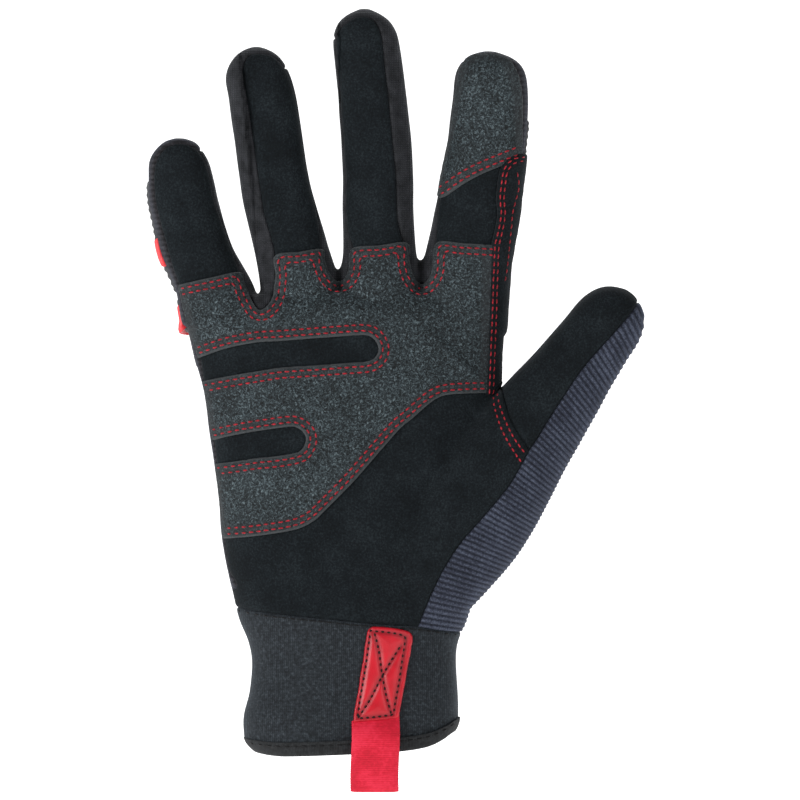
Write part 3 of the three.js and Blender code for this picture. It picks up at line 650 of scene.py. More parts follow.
def stretch_knit():
    """Fine dark grey warp knit, as small rows of loops that follow the finger."""
    material, shader, make, plug = tree_of("stretch_knit")
    where = make("ShaderNodeTexCoord").outputs["Object"]
    rows = make("ShaderNodeTexWave", {"wave_type": "BANDS", "bands_direction": "Z"},
                Vector=where, Scale=420.0, Distortion=1.5, Detail=1.0).outputs["Fac"]
    wales = make("ShaderNodeTexWave", {"wave_type": "BANDS", "bands_direction": "X"},
                 Vector=where, Scale=420.0, Distortion=1.5, Detail=1.0).outputs["Fac"]
    loops = maths(make, "MULTIPLY", rows, wales)
    fuzz = make("ShaderNodeTexNoise", Vector=where, Scale=260.0, Detail=4.0).outputs["Fac"]
    mixed = maths(make, "MULTIPLY_ADD", loops, 0.2, fuzz)
    plug(shader, "Base Color", ramp(make, mixed, [
        (0.35, linear(19, 20, 22)), (0.75, linear(42, 43, 46))]))
    bump = make("ShaderNodeBump", Height=loops, Strength=0.5, Distance=0.0003)
    plug(shader, "Normal", bump.outputs["Normal"])
    plug(shader, "Roughness", 0.9)
    plug(shader, "Sheen Weight", 0.12)
    plug(shader, "Sheen Tint", linear(170, 175, 185))
    plug(shader, "Specular IOR Level", 0.15)
    return material


fourchette_knit = stretch_knit()
fourchette_blocks = []
# Each fourchette's node, its two bounding lines, its cut's width and length, and the cut's area
FOURCHETTES = [
    ("fourchette_pinky_ring", PINKY_LINE, RING_LINE, (0.024, 0.152), 0.0026),
    ("fourchette_ring_middle", RING_LINE, MIDDLE_LINE, (0.014, 0.166), 0.0016),
    ("fourchette_middle_index", [(300, -40), *MIDDLE_LINE], INDEX_LINE, (0.022, 0.178), 0.0027),
]
for node, left, right, cloth_cut, cut_area in FOURCHETTES:
    block = front_block(seen(left) + list(reversed(seen(right))), -FAR, FOURCHETTE_DEPTH)
    cut(block, palm_through, "DIFFERENCE")
    fourchette_blocks.append(block)
    piece = copy_of(form, node + "_knit")
    cut(piece, block, "INTERSECT")
    unseam(piece)
    dress(piece, fourchette_knit, roll=1.0 * MM, sink=0.7 * MM)
    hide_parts(node)
    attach(piece, "root")

# Thumb knit: navy ribbed knit over the thumb's back, which comes round its outer side to the
# front as a wedge down to the cuff. Its ribs run across the thumb and fan out round the wrist.
RIB_PITCH = 1.85
RIB_FAN_MIDDLE = ((812 - PIXEL_MIDDLE) * MM_PER_PIXEL, (PIXEL_HEM - 690) * MM_PER_PIXEL)
RIB_FAN_REACH = 132.0
RIB_HEIGHT = 0.17 * MM
RIB_FADE = 0.8 * MM
LOOP_PITCH = 0.46


def ribbed_knit(name, deep, middle, light, relief):
    """Broad ribs of looped yarn between thin grooves, along attributes that count ribs and loops."""
    material, shader, make, plug = tree_of(name)
    where = make("ShaderNodeTexCoord").outputs["Object"]
    rib = make("ShaderNodeAttribute", {"attribute_name": "rib"}).outputs["Fac"]
    turn = maths(make, "MULTIPLY", rib, math.tau)
    wave = maths(make, "COSINE", turn)
    height = maths(make, "MULTIPLY_ADD", wave, 0.5, 0.5)
    ridge = maths(make, "POWER", height, 0.45)
    loop = make("ShaderNodeAttribute", {"attribute_name": "loop"}).outputs["Fac"]
    loop_turn = maths(make, "MULTIPLY", loop, math.tau)
    loops = maths(make, "SINE", loop_turn)
    yarn = make("ShaderNodeTexNoise", Vector=where, Scale=1500.0, Detail=3.0, Roughness=0.7).outputs["Fac"]
    cloud = make("ShaderNodeTexNoise", Vector=where, Scale=120.0, Detail=3.0).outputs["Fac"]
    mixed = maths(make, "MULTIPLY_ADD", yarn, 1.3, -0.65)
    tone = maths(make, "MULTIPLY_ADD", ridge, 0.45, mixed)
    knitted = maths(make, "MULTIPLY_ADD", loops, 0.1, tone)
    both = maths(make, "MULTIPLY_ADD", cloud, 0.5, knitted)
    plug(shader, "Base Color", ramp(make, both, [(0.2, deep), (0.58, middle), (0.92, light)]))
    looped = maths(make, "MULTIPLY_ADD", loops, 0.15, ridge)
    surface = maths(make, "MULTIPLY_ADD", yarn, 0.9, looped)
    bump = make("ShaderNodeBump", Height=surface, Strength=relief, Distance=0.0004)
    plug(shader, "Normal", bump.outputs["Normal"])
    plug(shader, "Roughness", 0.88)
    plug(shader, "Sheen Weight", 0.15)
    plug(shader, "Sheen Tint", linear(150, 160, 190))
    plug(shader, "Specular IOR Level", 0.2)
    return material


def fan_ribs(places, edge):
    """Ribs that run towards one far point."""
    x = places[:, 0] / MM - RIB_FAN_MIDDLE[0]
    z = places[:, 2] / MM - RIB_FAN_MIDDLE[1]
    count = np.arctan2(z, -x) * RIB_FAN_REACH / RIB_PITCH
    height = RIB_HEIGHT * np.cos(count * math.tau) * np.clip(edge / RIB_FADE, 0, 1)
    return height, {"rib": count, "loop": np.hypot(x, z) / LOOP_PITCH}


ABOVE_FINGERS = [(180, 320), (-180, 320)]
hand_block = front_block(seen(CUFF_SEAM)[:-1] + seen(CUFF_SEAM_END) + ABOVE_FINGERS, -FAR, FAR)
THUMB_FRONT_ROOM = [(405, 660), (405, 560), (499, 388), (540, 330), (640, 230), (760, 230), (760, 660)]
THUMB_BACK_ROOM = [(462, 660), (462, 600), (466, 540), (474, 480), (484, 430), (499, 388), (540, 330),
                   (640, 230), (760, 230), (760, 660)]
thumb_rooms = [front_block(seen(THUMB_FRONT_ROOM)[:-1], -FAR, 0.0),
               front_block(seen(THUMB_BACK_ROOM)[:-1], 0.0, FAR)]
thumb_room = thumb_rooms[0]
cut(thumb_room, thumb_rooms[1], "UNION")
navy = ribbed_knit("navy_ribbed_knit", linear(15, 17, 25), linear(38, 42, 54),
                   linear(76, 82, 97), 0.6)
thumb_knit = copy_of(form, "thumb_back_knit")
for cutter, operation in ((hand_block, "INTERSECT"), (thumb_room, "INTERSECT"),
                          (palm_front, "DIFFERENCE"), (thumb_front, "DIFFERENCE")):
    cut(thumb_knit, cutter, operation)
unseam(thumb_knit)
dress(thumb_knit, navy, relief=fan_ribs)
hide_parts("back_panel")
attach(thumb_knit, "root")

# Back panel of charcoal ribbed knit: the back of the hand and of all four fingers. It shows
# from the front only as a thin edge outside the little finger and the forefinger.
back = copy_of(form, "back_panel_knit")
cut(back, hand_block, "INTERSECT")
for cutter in (palm_front, thumb_front, thumb_room, *fourchette_blocks):
    cut(back, cutter, "DIFFERENCE")
unseam(back)
charcoal = ribbed_knit("charcoal_ribbed_knit", linear(15, 15, 16), linear(30, 29, 31),
                       linear(52, 51, 55), 0.4)
dress(back, charcoal)
for key, axis, pitch in (("rib", 2, RIB_PITCH), ("loop", 0, LOOP_PITCH)):
    counts = back.data.attributes.new(key, "FLOAT", "POINT")
    counts.data.foreach_set("value", places_of(back.data)[:, axis] / MM / pitch)
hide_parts("back_panel")
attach(back, "root")

# Cuff of knit-faced neoprene, drawn in a little below the wrist seam. Its upper edge is sewn
# to the hand's panels and its lower edge runs into the hem binding.
HEM_LOW = [(222, 751), (245, 751.5), (258, 752.5), (272, 753.5), (289, 753.6), (351, 751), (398, 748.5),
           (428, 744.5), (445, 738), (452, 734), (460, 731), (480, 729)]
CUFF_UP_FROM_HEM = 3.2


def neoprene_cloth():
    """Knit-faced neoprene: charcoal, close and even, with a fine ribbing that runs up and down."""
    material, shader, make, plug = tree_of("neoprene")
    where = make("ShaderNodeTexCoord").outputs["Object"]
    wales = make("ShaderNodeTexWave", {"wave_type": "BANDS", "bands_direction": "X"},
                 Vector=where, Scale=470.0, Distortion=1.5, Detail=2.0, Detail_Scale=4.0).outputs["Fac"]
    courses = make("ShaderNodeTexWave", {"wave_type": "BANDS", "bands_direction": "Z"},
                   Vector=where, Scale=610.0, Distortion=1.5, Detail=2.0, Detail_Scale=4.0).outputs["Fac"]
    loops = maths(make, "MULTIPLY", wales, courses)
    flecks = make("ShaderNodeTexNoise", Vector=where, Scale=900.0, Detail=4.0, Roughness=0.7).outputs["Fac"]
    tone = maths(make, "MULTIPLY_ADD", loops, 0.18, flecks)
    plug(shader, "Base Color", ramp(make, tone, [
        (0.4, linear(17, 20, 23)), (0.58, linear(30, 34, 38)), (0.8, linear(56, 63, 68))]))
    bump = make("ShaderNodeBump", Height=loops, Strength=0.2, Distance=0.0002)
    plug(shader, "Normal", bump.outputs["Normal"])
    plug(shader, "Roughness", 0.85)
    plug(shader, "Sheen Weight", 0.12)
    plug(shader, "Sheen Tint", linear(150, 165, 180))
    plug(shader, "Specular IOR Level", 0.18)
    return material


raw_edge = [(x, z + CUFF_UP_FROM_HEM) for x, z in seen(HEM_LOW)]
below_raw_edge = front_block([(-200, -200), (-200, raw_edge[0][1])] + raw_edge
                             + [(200, raw_edge[-1][1]), (200, -200)], -FAR, FAR)
cuff = copy_of(form, "cuff_neoprene")
for cutter in (hand_block, below_raw_edge):
    cut(cuff, cutter, "DIFFERENCE")
unseam(cuff)
dress(cuff, neoprene_cloth(), roll=1.6 * MM, sink=0.7 * MM, wall=2 * MM)
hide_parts("cuff")
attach(cuff, "root")

# Hem binding: a woven tape folded over the cuff's raw edge and sewn through. It lies close to
# the cuff at its sides, where its foot curls in.
HEM_STEPS = 200
# The folded tape's section, outside face first: outward from the cuff's skin, and up from the
# hem, in millimetres
BINDING_SECTION = [(0.3, 4.9), (0.65, 5.0), (0.95, 4.6), (1.0, 3.9), (0.75, 3.45), (0.95, 2.9),
                   (1.0, 1.6), (0.85, 0.6), (0.35, 0.1), (-0.5, -0.05), (-1.4, 0.1), (-1.9, 0.6),
                   (-2.1, 1.6), (-2.15, 3.9), (-2.0, 4.3), (-1.6, 4.1), (-1.55, 1.8), (-1.35, 1.0),
                   (-0.5, 0.6), (0.15, 0.8), (0.35, 1.7), (0.3, 3.2)]
TAPE_RIB = 0.55 * MM
RIPPLE = 0.12
SIDE_SQUEEZE = 0.6
# How far the fold's foot curls in on the left and right of the cuff, in millimetres
CURL_LEFT = 3.4
CURL_RIGHT = 1.6
CURL_HEIGHT = 5.0


def tape_cloth():
    """Plain black woven tape with fine ribs that run across it."""
    material, shader, make, plug = tree_of("binding_tape")
    where = make("ShaderNodeTexCoord").outputs["Object"]
    count = make("ShaderNodeAttribute", {"attribute_name": "round"}).outputs["Fac"]
    turn = maths(make, "MULTIPLY", count, math.tau)
    wave = maths(make, "SINE", turn)
    fuzz = make("ShaderNodeTexNoise", Vector=where, Scale=900.0, Detail=3.0).outputs["Fac"]
    tone = maths(make, "MULTIPLY_ADD", wave, 0.16, fuzz)
    plug(shader, "Base Color", ramp(make, tone, [
        (0.3, linear(13, 14, 15)), (0.75, linear(36, 38, 40))]))
    bump = make("ShaderNodeBump", Height=tone, Strength=0.5, Distance=0.0003)
    plug(shader, "Normal", bump.outputs["Normal"])
    plug(shader, "Roughness", 0.88)
    plug(shader, "Specular IOR Level", 0.3)
    return material


def cuff_at(turn, height):
    """Point on the cuff's skin at a turn round it and a height, and its outward direction."""
    left, right, depth = between(trunk_rows, height)
    c, s = math.cos(turn), math.sin(turn)
    half_width, half_depth = (left + right) / 2, depth / 2
    bend = 2 / TRUNK_SQUARE
    x = (right - left) / 2 + math.copysign(abs(c) ** bend, c) * half_width
    y = math.copysign(abs(s) ** bend, s) * half_depth
    out = Vector((math.copysign(abs(c) ** (2 - bend), c) / half_width,
                  math.copysign(abs(s) ** (2 - bend), s) / half_depth, 0))
    return Vector((x, y, height)), out.normalized()


hem_line = np.array(seen(HEM_LOW, 0.3))
hem_line = hem_line[np.argsort(hem_line[:, 0])]
tape = tape_cloth()
hem_bm = bmesh.new()
round_layer = hem_bm.verts.layers.float.new("round")
rings = []
for i in range(HEM_STEPS):
    turn = math.tau * i / HEM_STEPS
    height = 3 * MM
    for _ in range(4):
        place, out = cuff_at(turn, height)
        height = np.interp(place.x / MM, hem_line[:, 0], hem_line[:, 1]) * MM
    place, out = cuff_at(turn, height)
    ripple = RIPPLE * noise.noise(place * 160)
    ring = []
    for proud, up in BINDING_SECTION:
        on_skin, out = cuff_at(turn, height + up * MM)
        side = math.cos(turn)
        curl = (CURL_LEFT if side < 0 else CURL_RIGHT) * side ** 2 * (1 - min(up / CURL_HEIGHT, 1)) ** 2
        squeezed = min(proud, 1 - SIDE_SQUEEZE * side ** 2)
        ring.append(hem_bm.verts.new(on_skin + out * (squeezed + ripple - curl) * MM))
    rings.append(ring)
reach = 0.0
for ring, after in zip(rings, rings[1:] + rings[:1]):
    for vert in ring:
        vert[round_layer] = reach / TAPE_RIB
    reach += (after[0].co - ring[0].co).length
    for k in range(len(ring)):
        j = (k + 1) % len(ring)
        hem_bm.faces.new((ring[k], ring[j], after[j], after[k]))
bmesh.ops.recalc_face_normals(hem_bm, faces=hem_bm.faces)
binding = as_object(hem_bm, "cuff_binding_tape")
binding.data.materials.append(tape)
binding.data.shade_smooth()
round_it = binding.modifiers.new("round", "SUBSURF")
round_it.levels = round_it.render_levels = 1
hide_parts("cuff_binding")
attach(binding, "root")

# Palm patch of grey grained synthetic leather, laid over the suede. Two rows of red thread
# hold its upper and lower edges and go round its slots, and its outer side goes into the seam.
PATCH_LIFT = 1.2 * MM
PATCH_TOP = [(179, 285), (210, 278.5), (240, 272.5), (243.5, 281), (247, 290), (252, 300), (257, 308),
             (261.5, 310.8), (267, 308), (272, 301), (275, 292), (276.5, 275), (276, 256), (299, 252.5),
             (322.4, 250), (324, 262), (328, 273), (333.5, 280), (338.5, 282), (345, 279.5), (350, 270),
             (353, 249.4), (380, 246), (406.8, 243.4), (408.5, 262), (413, 277), (420.5, 284.5),
             (427.5, 281.5), (433, 271), (437, 243.8), (464, 244), (493, 245.5)]
PATCH_RIGHT = [(493, 245.5), (492.7, 265), (491.4, 316), (489, 367.6), (486, 393)]
PATCH_LOW = [(486, 393), (462.9, 393.7), (443.8, 395.6), (431, 402), (411.9, 418.6), (400, 428.5),
             (378.6, 452.7), (353, 482), (327.6, 507.6), (314.8, 519.7), (295.7, 528.6), (257.4, 535),
             (223.6, 538.2)]
SLOT_HIGH = [(199.5, 358), (228, 348.5), (257.6, 342.8), (280, 341.5), (315.7, 338.8), (351.4, 336.2),
             (365.7, 335.7), (373, 338.5), (378, 345.5), (378.5, 352), (375, 358), (368, 361.6),
             (351.4, 363), (315.7, 365.6), (280, 368), (257.5, 371.5), (230, 376), (203.3, 381)]
SLOT_LOW = [(213.4, 440), (235, 435), (257.4, 431), (289.3, 426.6), (298, 427.5), (305, 433), (307, 440),
            (303, 449), (295.7, 452.7), (276, 456), (257.4, 457.8), (236, 461), (215.3, 463.5)]
PATCH_SIDE_LOW = [(223.6, 538.2), (219.5, 500), (215.3, 463.5)]
PATCH_SIDE_MIDDLE = [(213.4, 440), (208.5, 410), (203.3, 381)]
PATCH_SIDE_HIGH = [(199.5, 358), (187.4, 322), (179, 285)]


def grained_leather():
    """Synthetic leather with a coarse pebble grain: its colour follows the grain, lighter on the tops than in
    the creases.
    """
    material, shader, make, plug = tree_of("grained_leather")
    where = make("ShaderNodeTexCoord").outputs["Object"]
    drift = make("ShaderNodeTexNoise", Vector=where, Scale=620.0, Detail=1.0).outputs["Color"]
    bent = make("ShaderNodeMixRGB", {"blend_type": "ADD"}, Fac=0.0012, Color1=where, Color2=drift).outputs[0]
    grain = make("ShaderNodeTexNoise", Vector=bent, Scale=1450.0, Detail=2.5, Roughness=0.6,
                 Distortion=0.9).outputs["Fac"]
    cloud = make("ShaderNodeTexNoise", Vector=where, Scale=60.0, Detail=3.0).outputs["Fac"]
    tone = maths(make, "MULTIPLY_ADD", cloud, 0.14, grain)
    skin = ramp(make, tone, [
        (0.45, linear(6, 10, 12)), (0.57, linear(29, 36, 39)), (0.66, linear(52, 62, 66)),
        (0.77, linear(88, 100, 104))])
    edge = make("ShaderNodeAttribute", {"attribute_name": "edge"}).outputs["Fac"]
    field = make("ShaderNodeMapRange", Value=edge, From_Min=3.6, From_Max=5.0, To_Min=0.5).outputs["Result"]
    sewn = make("ShaderNodeMixRGB", Fac=field, Color1=linear(37, 39, 41), Color2=skin).outputs[0]
    rim = make("ShaderNodeMapRange", Value=edge, From_Min=0.3, From_Max=0.8).outputs["Result"]
    cut_edge = make("ShaderNodeMixRGB", Fac=rim, Color1=linear(58, 61, 63), Color2=sewn).outputs[0]
    plug(shader, "Base Color", cut_edge)
    bump = make("ShaderNodeBump", Height=grain, Strength=0.8, Distance=0.0005)
    plug(shader, "Normal", bump.outputs["Normal"])
    plug(shader, "Roughness", 0.72)
    plug(shader, "Specular IOR Level", 0.22)
    return material


grained = grained_leather()
patch_outline = []
for stretch in (PATCH_TOP, PATCH_RIGHT, PATCH_LOW, PATCH_SIDE_LOW, list(reversed(SLOT_LOW)),
                PATCH_SIDE_MIDDLE, list(reversed(SLOT_HIGH)), PATCH_SIDE_HIGH):
    patch_outline += seen(stretch)[:-1]
patch = copy_of(form, "palm_patch_grained")
cut(patch, front_block(patch_outline, -FAR, 0.0), "INTERSECT")
unseam(patch)
dress(patch, grained, lift=PATCH_LIFT, roll=0.7 * MM, sink=0.55 * MM, wall=1.1 * MM, tuck=0.7,
      pucker=0.25 * MM)
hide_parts("palm_patch")
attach(patch, "root")

# Red polyester thread of the patch. Each stitch is its own short, arched length of thread, and
# a small dark bead lies between two of them as painted shade in the needle hole.
STITCH_PITCH = 2.55
STITCH_LENGTH = 1.75
THREAD_RADIUS = 0.31
STITCH_ARCH = 0.2 * MM
STITCH_SLANT = 0.06
SLANT_VARIES = 0.07
# A row skips places where the surface turns this far from the viewer, and breaks where two
# places lie this many pitches apart
SIDE_ON = 0.12
ROW_BREAK = 4.5
# The dark beads of painted shade in the needle holes between the stitches: how deep, and how
# long and thick beside the gap and the thread
HOLE_DEPTH = 0.12 * MM
HOLE_LENGTH = 0.62
HOLE_THICKNESS = 0.95
FIRST_ROW = 1.5
SECOND_ROW = 3.5


def thread(name, light, dark):
    """Twisted polyester sewing thread, a little glossy."""
    material, shader, make, plug = tree_of(name)
    where = make("ShaderNodeTexCoord").outputs["Object"]
    twist = make("ShaderNodeTexNoise", Vector=where, Scale=2200.0, Detail=2.0).outputs["Fac"]
    plug(shader, "Base Color", ramp(make, twist, [(0.35, dark), (0.65, light)]))
    bump = make("ShaderNodeBump", Height=twist, Strength=0.4, Distance=0.0001)
    plug(shader, "Normal", bump.outputs["Normal"])
    plug(shader, "Roughness", 0.6)
    plug(shader, "Specular IOR Level", 0.2)
    return material


red_thread = thread("red_thread", linear(168, 30, 42), linear(92, 12, 20))
# Painted shade: near-black beads that stand for the shadow in the needle holes, made with the thread maker
needle_hole_shade = thread("needle_hole_shade", linear(8, 8, 9), linear(3, 3, 4))


def surface_of(*pieces):
    """Search tree over the pieces, for laying things on them."""
    points, faces = [], []
    for piece in pieces:
        start = len(points)
        points += [v.co.copy() for v in piece.data.vertices]
        faces += [[start + i for i in p.vertices] for p in piece.data.polygons]
    return bvhtree.BVHTree.FromPolygons(points, faces)


def beside(line, distance):
    """A smooth line moved sideways to its left, without the loops that form in tight bends."""
    points = np.array(line)
    along = np.gradient(points, axis=0)
    along /= np.maximum(np.linalg.norm(along, axis=1), 1e-9)[:, None]
    moved = points + distance * np.stack([-along[:, 1], along[:, 0]], axis=1)
    gaps = np.linalg.norm(moved[:, None] - points[None], axis=2).min(axis=1)
    return moved[gaps > abs(distance) * 0.96]


def evenly(line, pitch):
    """Points every pitch along a line."""
    steps = np.linalg.norm(np.diff(line, axis=0), axis=1)
    reach = np.concatenate([[0], np.cumsum(steps)])
    marks = np.arange(pitch / 2, reach[-1], pitch)
    return np.stack([np.interp(marks, reach, line[:, k]) for k in (0, 1)], axis=1)


def sew(name, rows, surface, looks, pitch=STITCH_PITCH, length=STITCH_LENGTH, radius=THREAD_RADIUS,
        facing=-1):
    """Sews rows of stitches, given as seen from the front in millimetres, onto a surface.

    The first look is the thread's; a second adds painted shade, dark beads in the needle holes between
    stitches.
    """
    points, faces, kinds = [], [], []
    sides = 6

    def bead(middle, ahead, out, half, thick, arch, kind):
        across = ahead.cross(out)
        start = len(points)
        shares = (-1.0, -0.72, -0.3, 0.3, 0.72, 1.0)
        for share in shares:
            wide = thick * math.sqrt(max(1 - 0.93 * share * share, 0.05))
            centre = middle + ahead * (share * half) + out * (arch * (1 - share * share) - 0.25 * thick)
            for k in range(sides):
                turn = math.tau * k / sides
                points.append(centre + (across * math.cos(turn) + out * math.sin(turn) * 0.8) * wide)
        for ring in range(len(shares) - 1):
            for k in range(sides):
                a, b = start + ring * sides + k, start + ring * sides + (k + 1) % sides
                faces.append((a, b, b + sides, a + sides))
                kinds.append(kind)
        for cap in (range(sides - 1, -1, -1), range((len(shares) - 1) * sides, len(shares) * sides)):
            faces.append(tuple(start + k for k in cap))
            kinds.append(kind)

    for row in rows:
        laid = []
        for x, z in evenly(np.array(row), pitch):
            start = Vector((x * MM, facing * FAR, z * MM))
            place, out, _, _ = surface.ray_cast(start, Vector((0, -facing, 0)))
            laid.append((place, out) if place and out.y * facing > SIDE_ON else None)
        for i, here in enumerate(laid):
            if not here:
                continue
            before = laid[i - 1] if i and laid[i - 1] else here
            after = laid[i + 1] if i + 1 < len(laid) and laid[i + 1] else here
            ahead = after[0] - before[0]
            if ahead.length < 1e-6 or ahead.length > ROW_BREAK * pitch * MM:
                continue
            out = here[1]
            ahead = (ahead - out * ahead.dot(out)).normalized()
            slant = SLANT_VARIES * noise.noise(here[0] * 900)
            ahead = (ahead + ahead.cross(out) * (slant + STITCH_SLANT)).normalized()
            bead(here[0], ahead, out, length / 2 * MM, radius * MM, STITCH_ARCH, 0)
            # A dark bead of painted shade in the needle hole between this stitch and the next
            if after is not here and len(looks) > 1:
                between_two = (here[0] + after[0]) / 2 - out * HOLE_DEPTH
                bead(between_two, ahead, out, (pitch - length) * HOLE_LENGTH * MM,
                     radius * HOLE_THICKNESS * MM, STITCH_ARCH / 2, 1)
    mesh = bpy.data.meshes.new(name)
    mesh.from_pydata(points, [], faces)
    for look in looks:
        mesh.materials.append(look)
    mesh.polygons.foreach_set("material_index", kinds)
    mesh.shade_smooth()
    obj = bpy.data.objects.new(name, mesh)
    bpy.context.scene.collection.objects.link(obj)
    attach(obj, "root")
    return obj


patch_skin = surface_of(patch)
patch_rows = []
for inset in (FIRST_ROW, SECOND_ROW):
    patch_rows += [beside(seen(PATCH_TOP), -inset), beside(seen(PATCH_LOW), -inset),
                   beside(seen(SLOT_HIGH), inset), beside(seen(SLOT_LOW), inset)]
sew("palm_patch_thread", patch_rows, patch_skin, (red_thread, needle_hole_shade))

# Forefinger's tip patch of the same grained leather. It covers the whole fingertip and is cut
# on a slant below, where two rows of red thread hold it.
TIP_EDGE = [(440, 199), (448, 196), (462, 186), (480, 176), (500, 167.5), (522, 158.5)]
TIP_SIDE = [(522, 158.5), (521.5, 120), (521, 95), (518, 78)]
TIP_WEB = [(459, 75), (456, 94), (452, 118), (448, 142), (443, 166), (440, 182), (437, 199)]
tip_outline = []
for stretch in (TIP_EDGE, TIP_SIDE, INDEX_TIP, TIP_WEB):
    tip_outline += seen(stretch)[:-1]
tip = copy_of(form, "index_tip_patch_grained")
cut(tip, front_block(tip_outline, -FAR, 1 * MM), "INTERSECT")
unseam(tip)
dress(tip, grained, lift=PATCH_LIFT, roll=1.0 * MM, sink=0.8 * MM, wall=1.1 * MM, tuck=0.7, pucker=0.2 * MM)
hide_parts("index_tip_patch")
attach(tip, "root")
tip_rows = [beside(seen(TIP_EDGE), inset) for inset in (FIRST_ROW, SECOND_ROW + 0.4)]
sew("index_tip_patch_thread", tip_rows, surface_of(tip), (red_thread, needle_hole_shade))

# Reinforcing strip of black suede down the thumb side of the forefinger, from the tip patch to
# the web of the thumb. Two rows of red thread follow its inner edge and its top, and a single
# row runs down its side.
STRIP_LIFT = 2.0 * MM
STRIP_EDGE = [(485, 395), (486, 367), (488, 316), (489.5, 270), (490.7, 246), (494.5, 229), (496.8, 214),
              (495.6, 201), (497, 184), (499.5, 170.6), (504.4, 162), (510, 157.5), (516, 155),
              (524, 154), (534, 156)]
STRIP_OUTSIDE = [(534, 156), (540, 200), (532, 300), (514, 352), (504, 378), (499, 388), (492, 396)]
STRIP_SIDE_ROW = [(516.5, 172), (518.5, 187), (515, 202), (512, 214), (511.2, 225), (509.8, 239),
                  (508.2, 256), (506.3, 272), (504, 285)]
STRIP_TACKS = [[(511, 201.5), (517, 202.5)], [(509, 215.5), (514, 216.5)]]
strip_outline = []
for stretch in (STRIP_EDGE, STRIP_OUTSIDE):
    strip_outline += seen(stretch)[:-1]
strip = copy_of(form, "index_side_patch_suede")
cut(strip, front_block(strip_outline, -FAR, 3 * MM), "INTERSECT")
unseam(strip)
dress(strip, suede, lift=STRIP_LIFT, roll=1.0 * MM, sink=0.8 * MM, wall=1.4 * MM, tuck=0.4, pucker=0.2 * MM)
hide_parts("index_side_patch")
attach(strip, "root")
strip_skin = surface_of(strip)
strip_rows = [beside(seen(STRIP_EDGE), -inset) for inset in (FIRST_ROW - 0.1, SECOND_ROW - 0.8)]
strip_rows += [np.array(seen(STRIP_SIDE_ROW))]
strip_rows += [np.array(seen(tack, 0.3)) for tack in STRIP_TACKS]
sew("index_side_patch_thread", strip_rows, strip_skin, (red_thread, needle_hole_shade), radius=0.26)

# Saddle seam thread. Two red rows run down the palm beside the seam that joins it to the thumb
# panel, from under the forefinger's strip to the navy knit.
SADDLE_ROWS = [[(497, 391.5), (498.4, 401.8), (503.5, 417.6), (511.3, 434.5), (519.3, 446.6), (526, 455)],
               [(493.5, 395), (493.5, 401.5), (495.2, 411.3), (500.7, 428.2), (509.9, 446), (520.5, 462)]]
sew("saddle_seam_thread", [np.array(seen(row, 0.4)) for row in SADDLE_ROWS], surface_of(palm),
    (red_thread, needle_hole_shade), pitch=2.1, length=1.45)

# Black thread of the cuff. One row runs just below the cuff's upper seam and one through the
# hem binding, each in a front and a back half.
black_thread = thread("black_thread", linear(10, 10, 12), linear(4, 4, 5))
cuff_skin = surface_of(cuff)
cuff_seam_line = seen(CUFF_SEAM[1:]) + seen(CUFF_SEAM_END[:2])
for name, facing in (("cuff_seam_thread_front", -1), ("cuff_seam_thread_back", 1)):
    sew(name, [beside(cuff_seam_line, -0.9)], cuff_skin, (black_thread, needle_hole_shade),
        pitch=3.1, length=2.0, radius=0.28, facing=facing)
binding_skin = surface_of(binding)
hem_row = [(x, z + 3.55) for x, z in hem_line[::4]]
for name, facing in (("hem_thread_front", -1), ("hem_thread_back", 1)):
    sew(name, [np.array(hem_row)], binding_skin, (black_thread, needle_hole_shade),
        pitch=3.0, length=2.1, radius=0.3, facing=facing)

# Pull tab: a patch of glossy red leather on the cuff, its edges turned under into a bead. A box
# and a cross of black stitches pull it down and leave puffed fields between them.
TAB_LIFT = 1.7 * MM
TAB_EDGE = [(354.3, 719), (354.6, 710), (356.5, 700), (359.5, 684), (361, 672), (364, 655), (365.2, 645),
            (367, 634), (368.4, 628), (371.5, 625.2), (376, 624.4), (392, 625.6), (406, 628.4),
            (410.5, 631.5), (411.6, 637), (409.8, 650), (407, 664), (404.6, 680), (401.5, 697),
            (399, 711), (397.8, 715.5)]
TAB_BOX = [(357.8, 714.4), (361, 694), (366, 664), (370.6, 631.6), (373, 629), (390, 630.2),
           (403, 633.2), (405, 637), (402.5, 655), (399.5, 676), (395.5, 698), (393.3, 710),
           (391, 711.6), (375, 713.6), (357.8, 714.9)]
TAB_CROSS = [[(374.5, 629.5), (379, 648), (382, 670), (386, 691), (391.5, 711.5)],
             [(400.5, 643.5), (392, 657), (382, 674), (370, 697), (358.5, 714.5)]]
STITCH_SINK = 0.55 * MM
STITCH_REACH = 0.85 * MM
FIELD_SWELL = 0.35 * MM
FIELD_REACH = 3.5 * MM


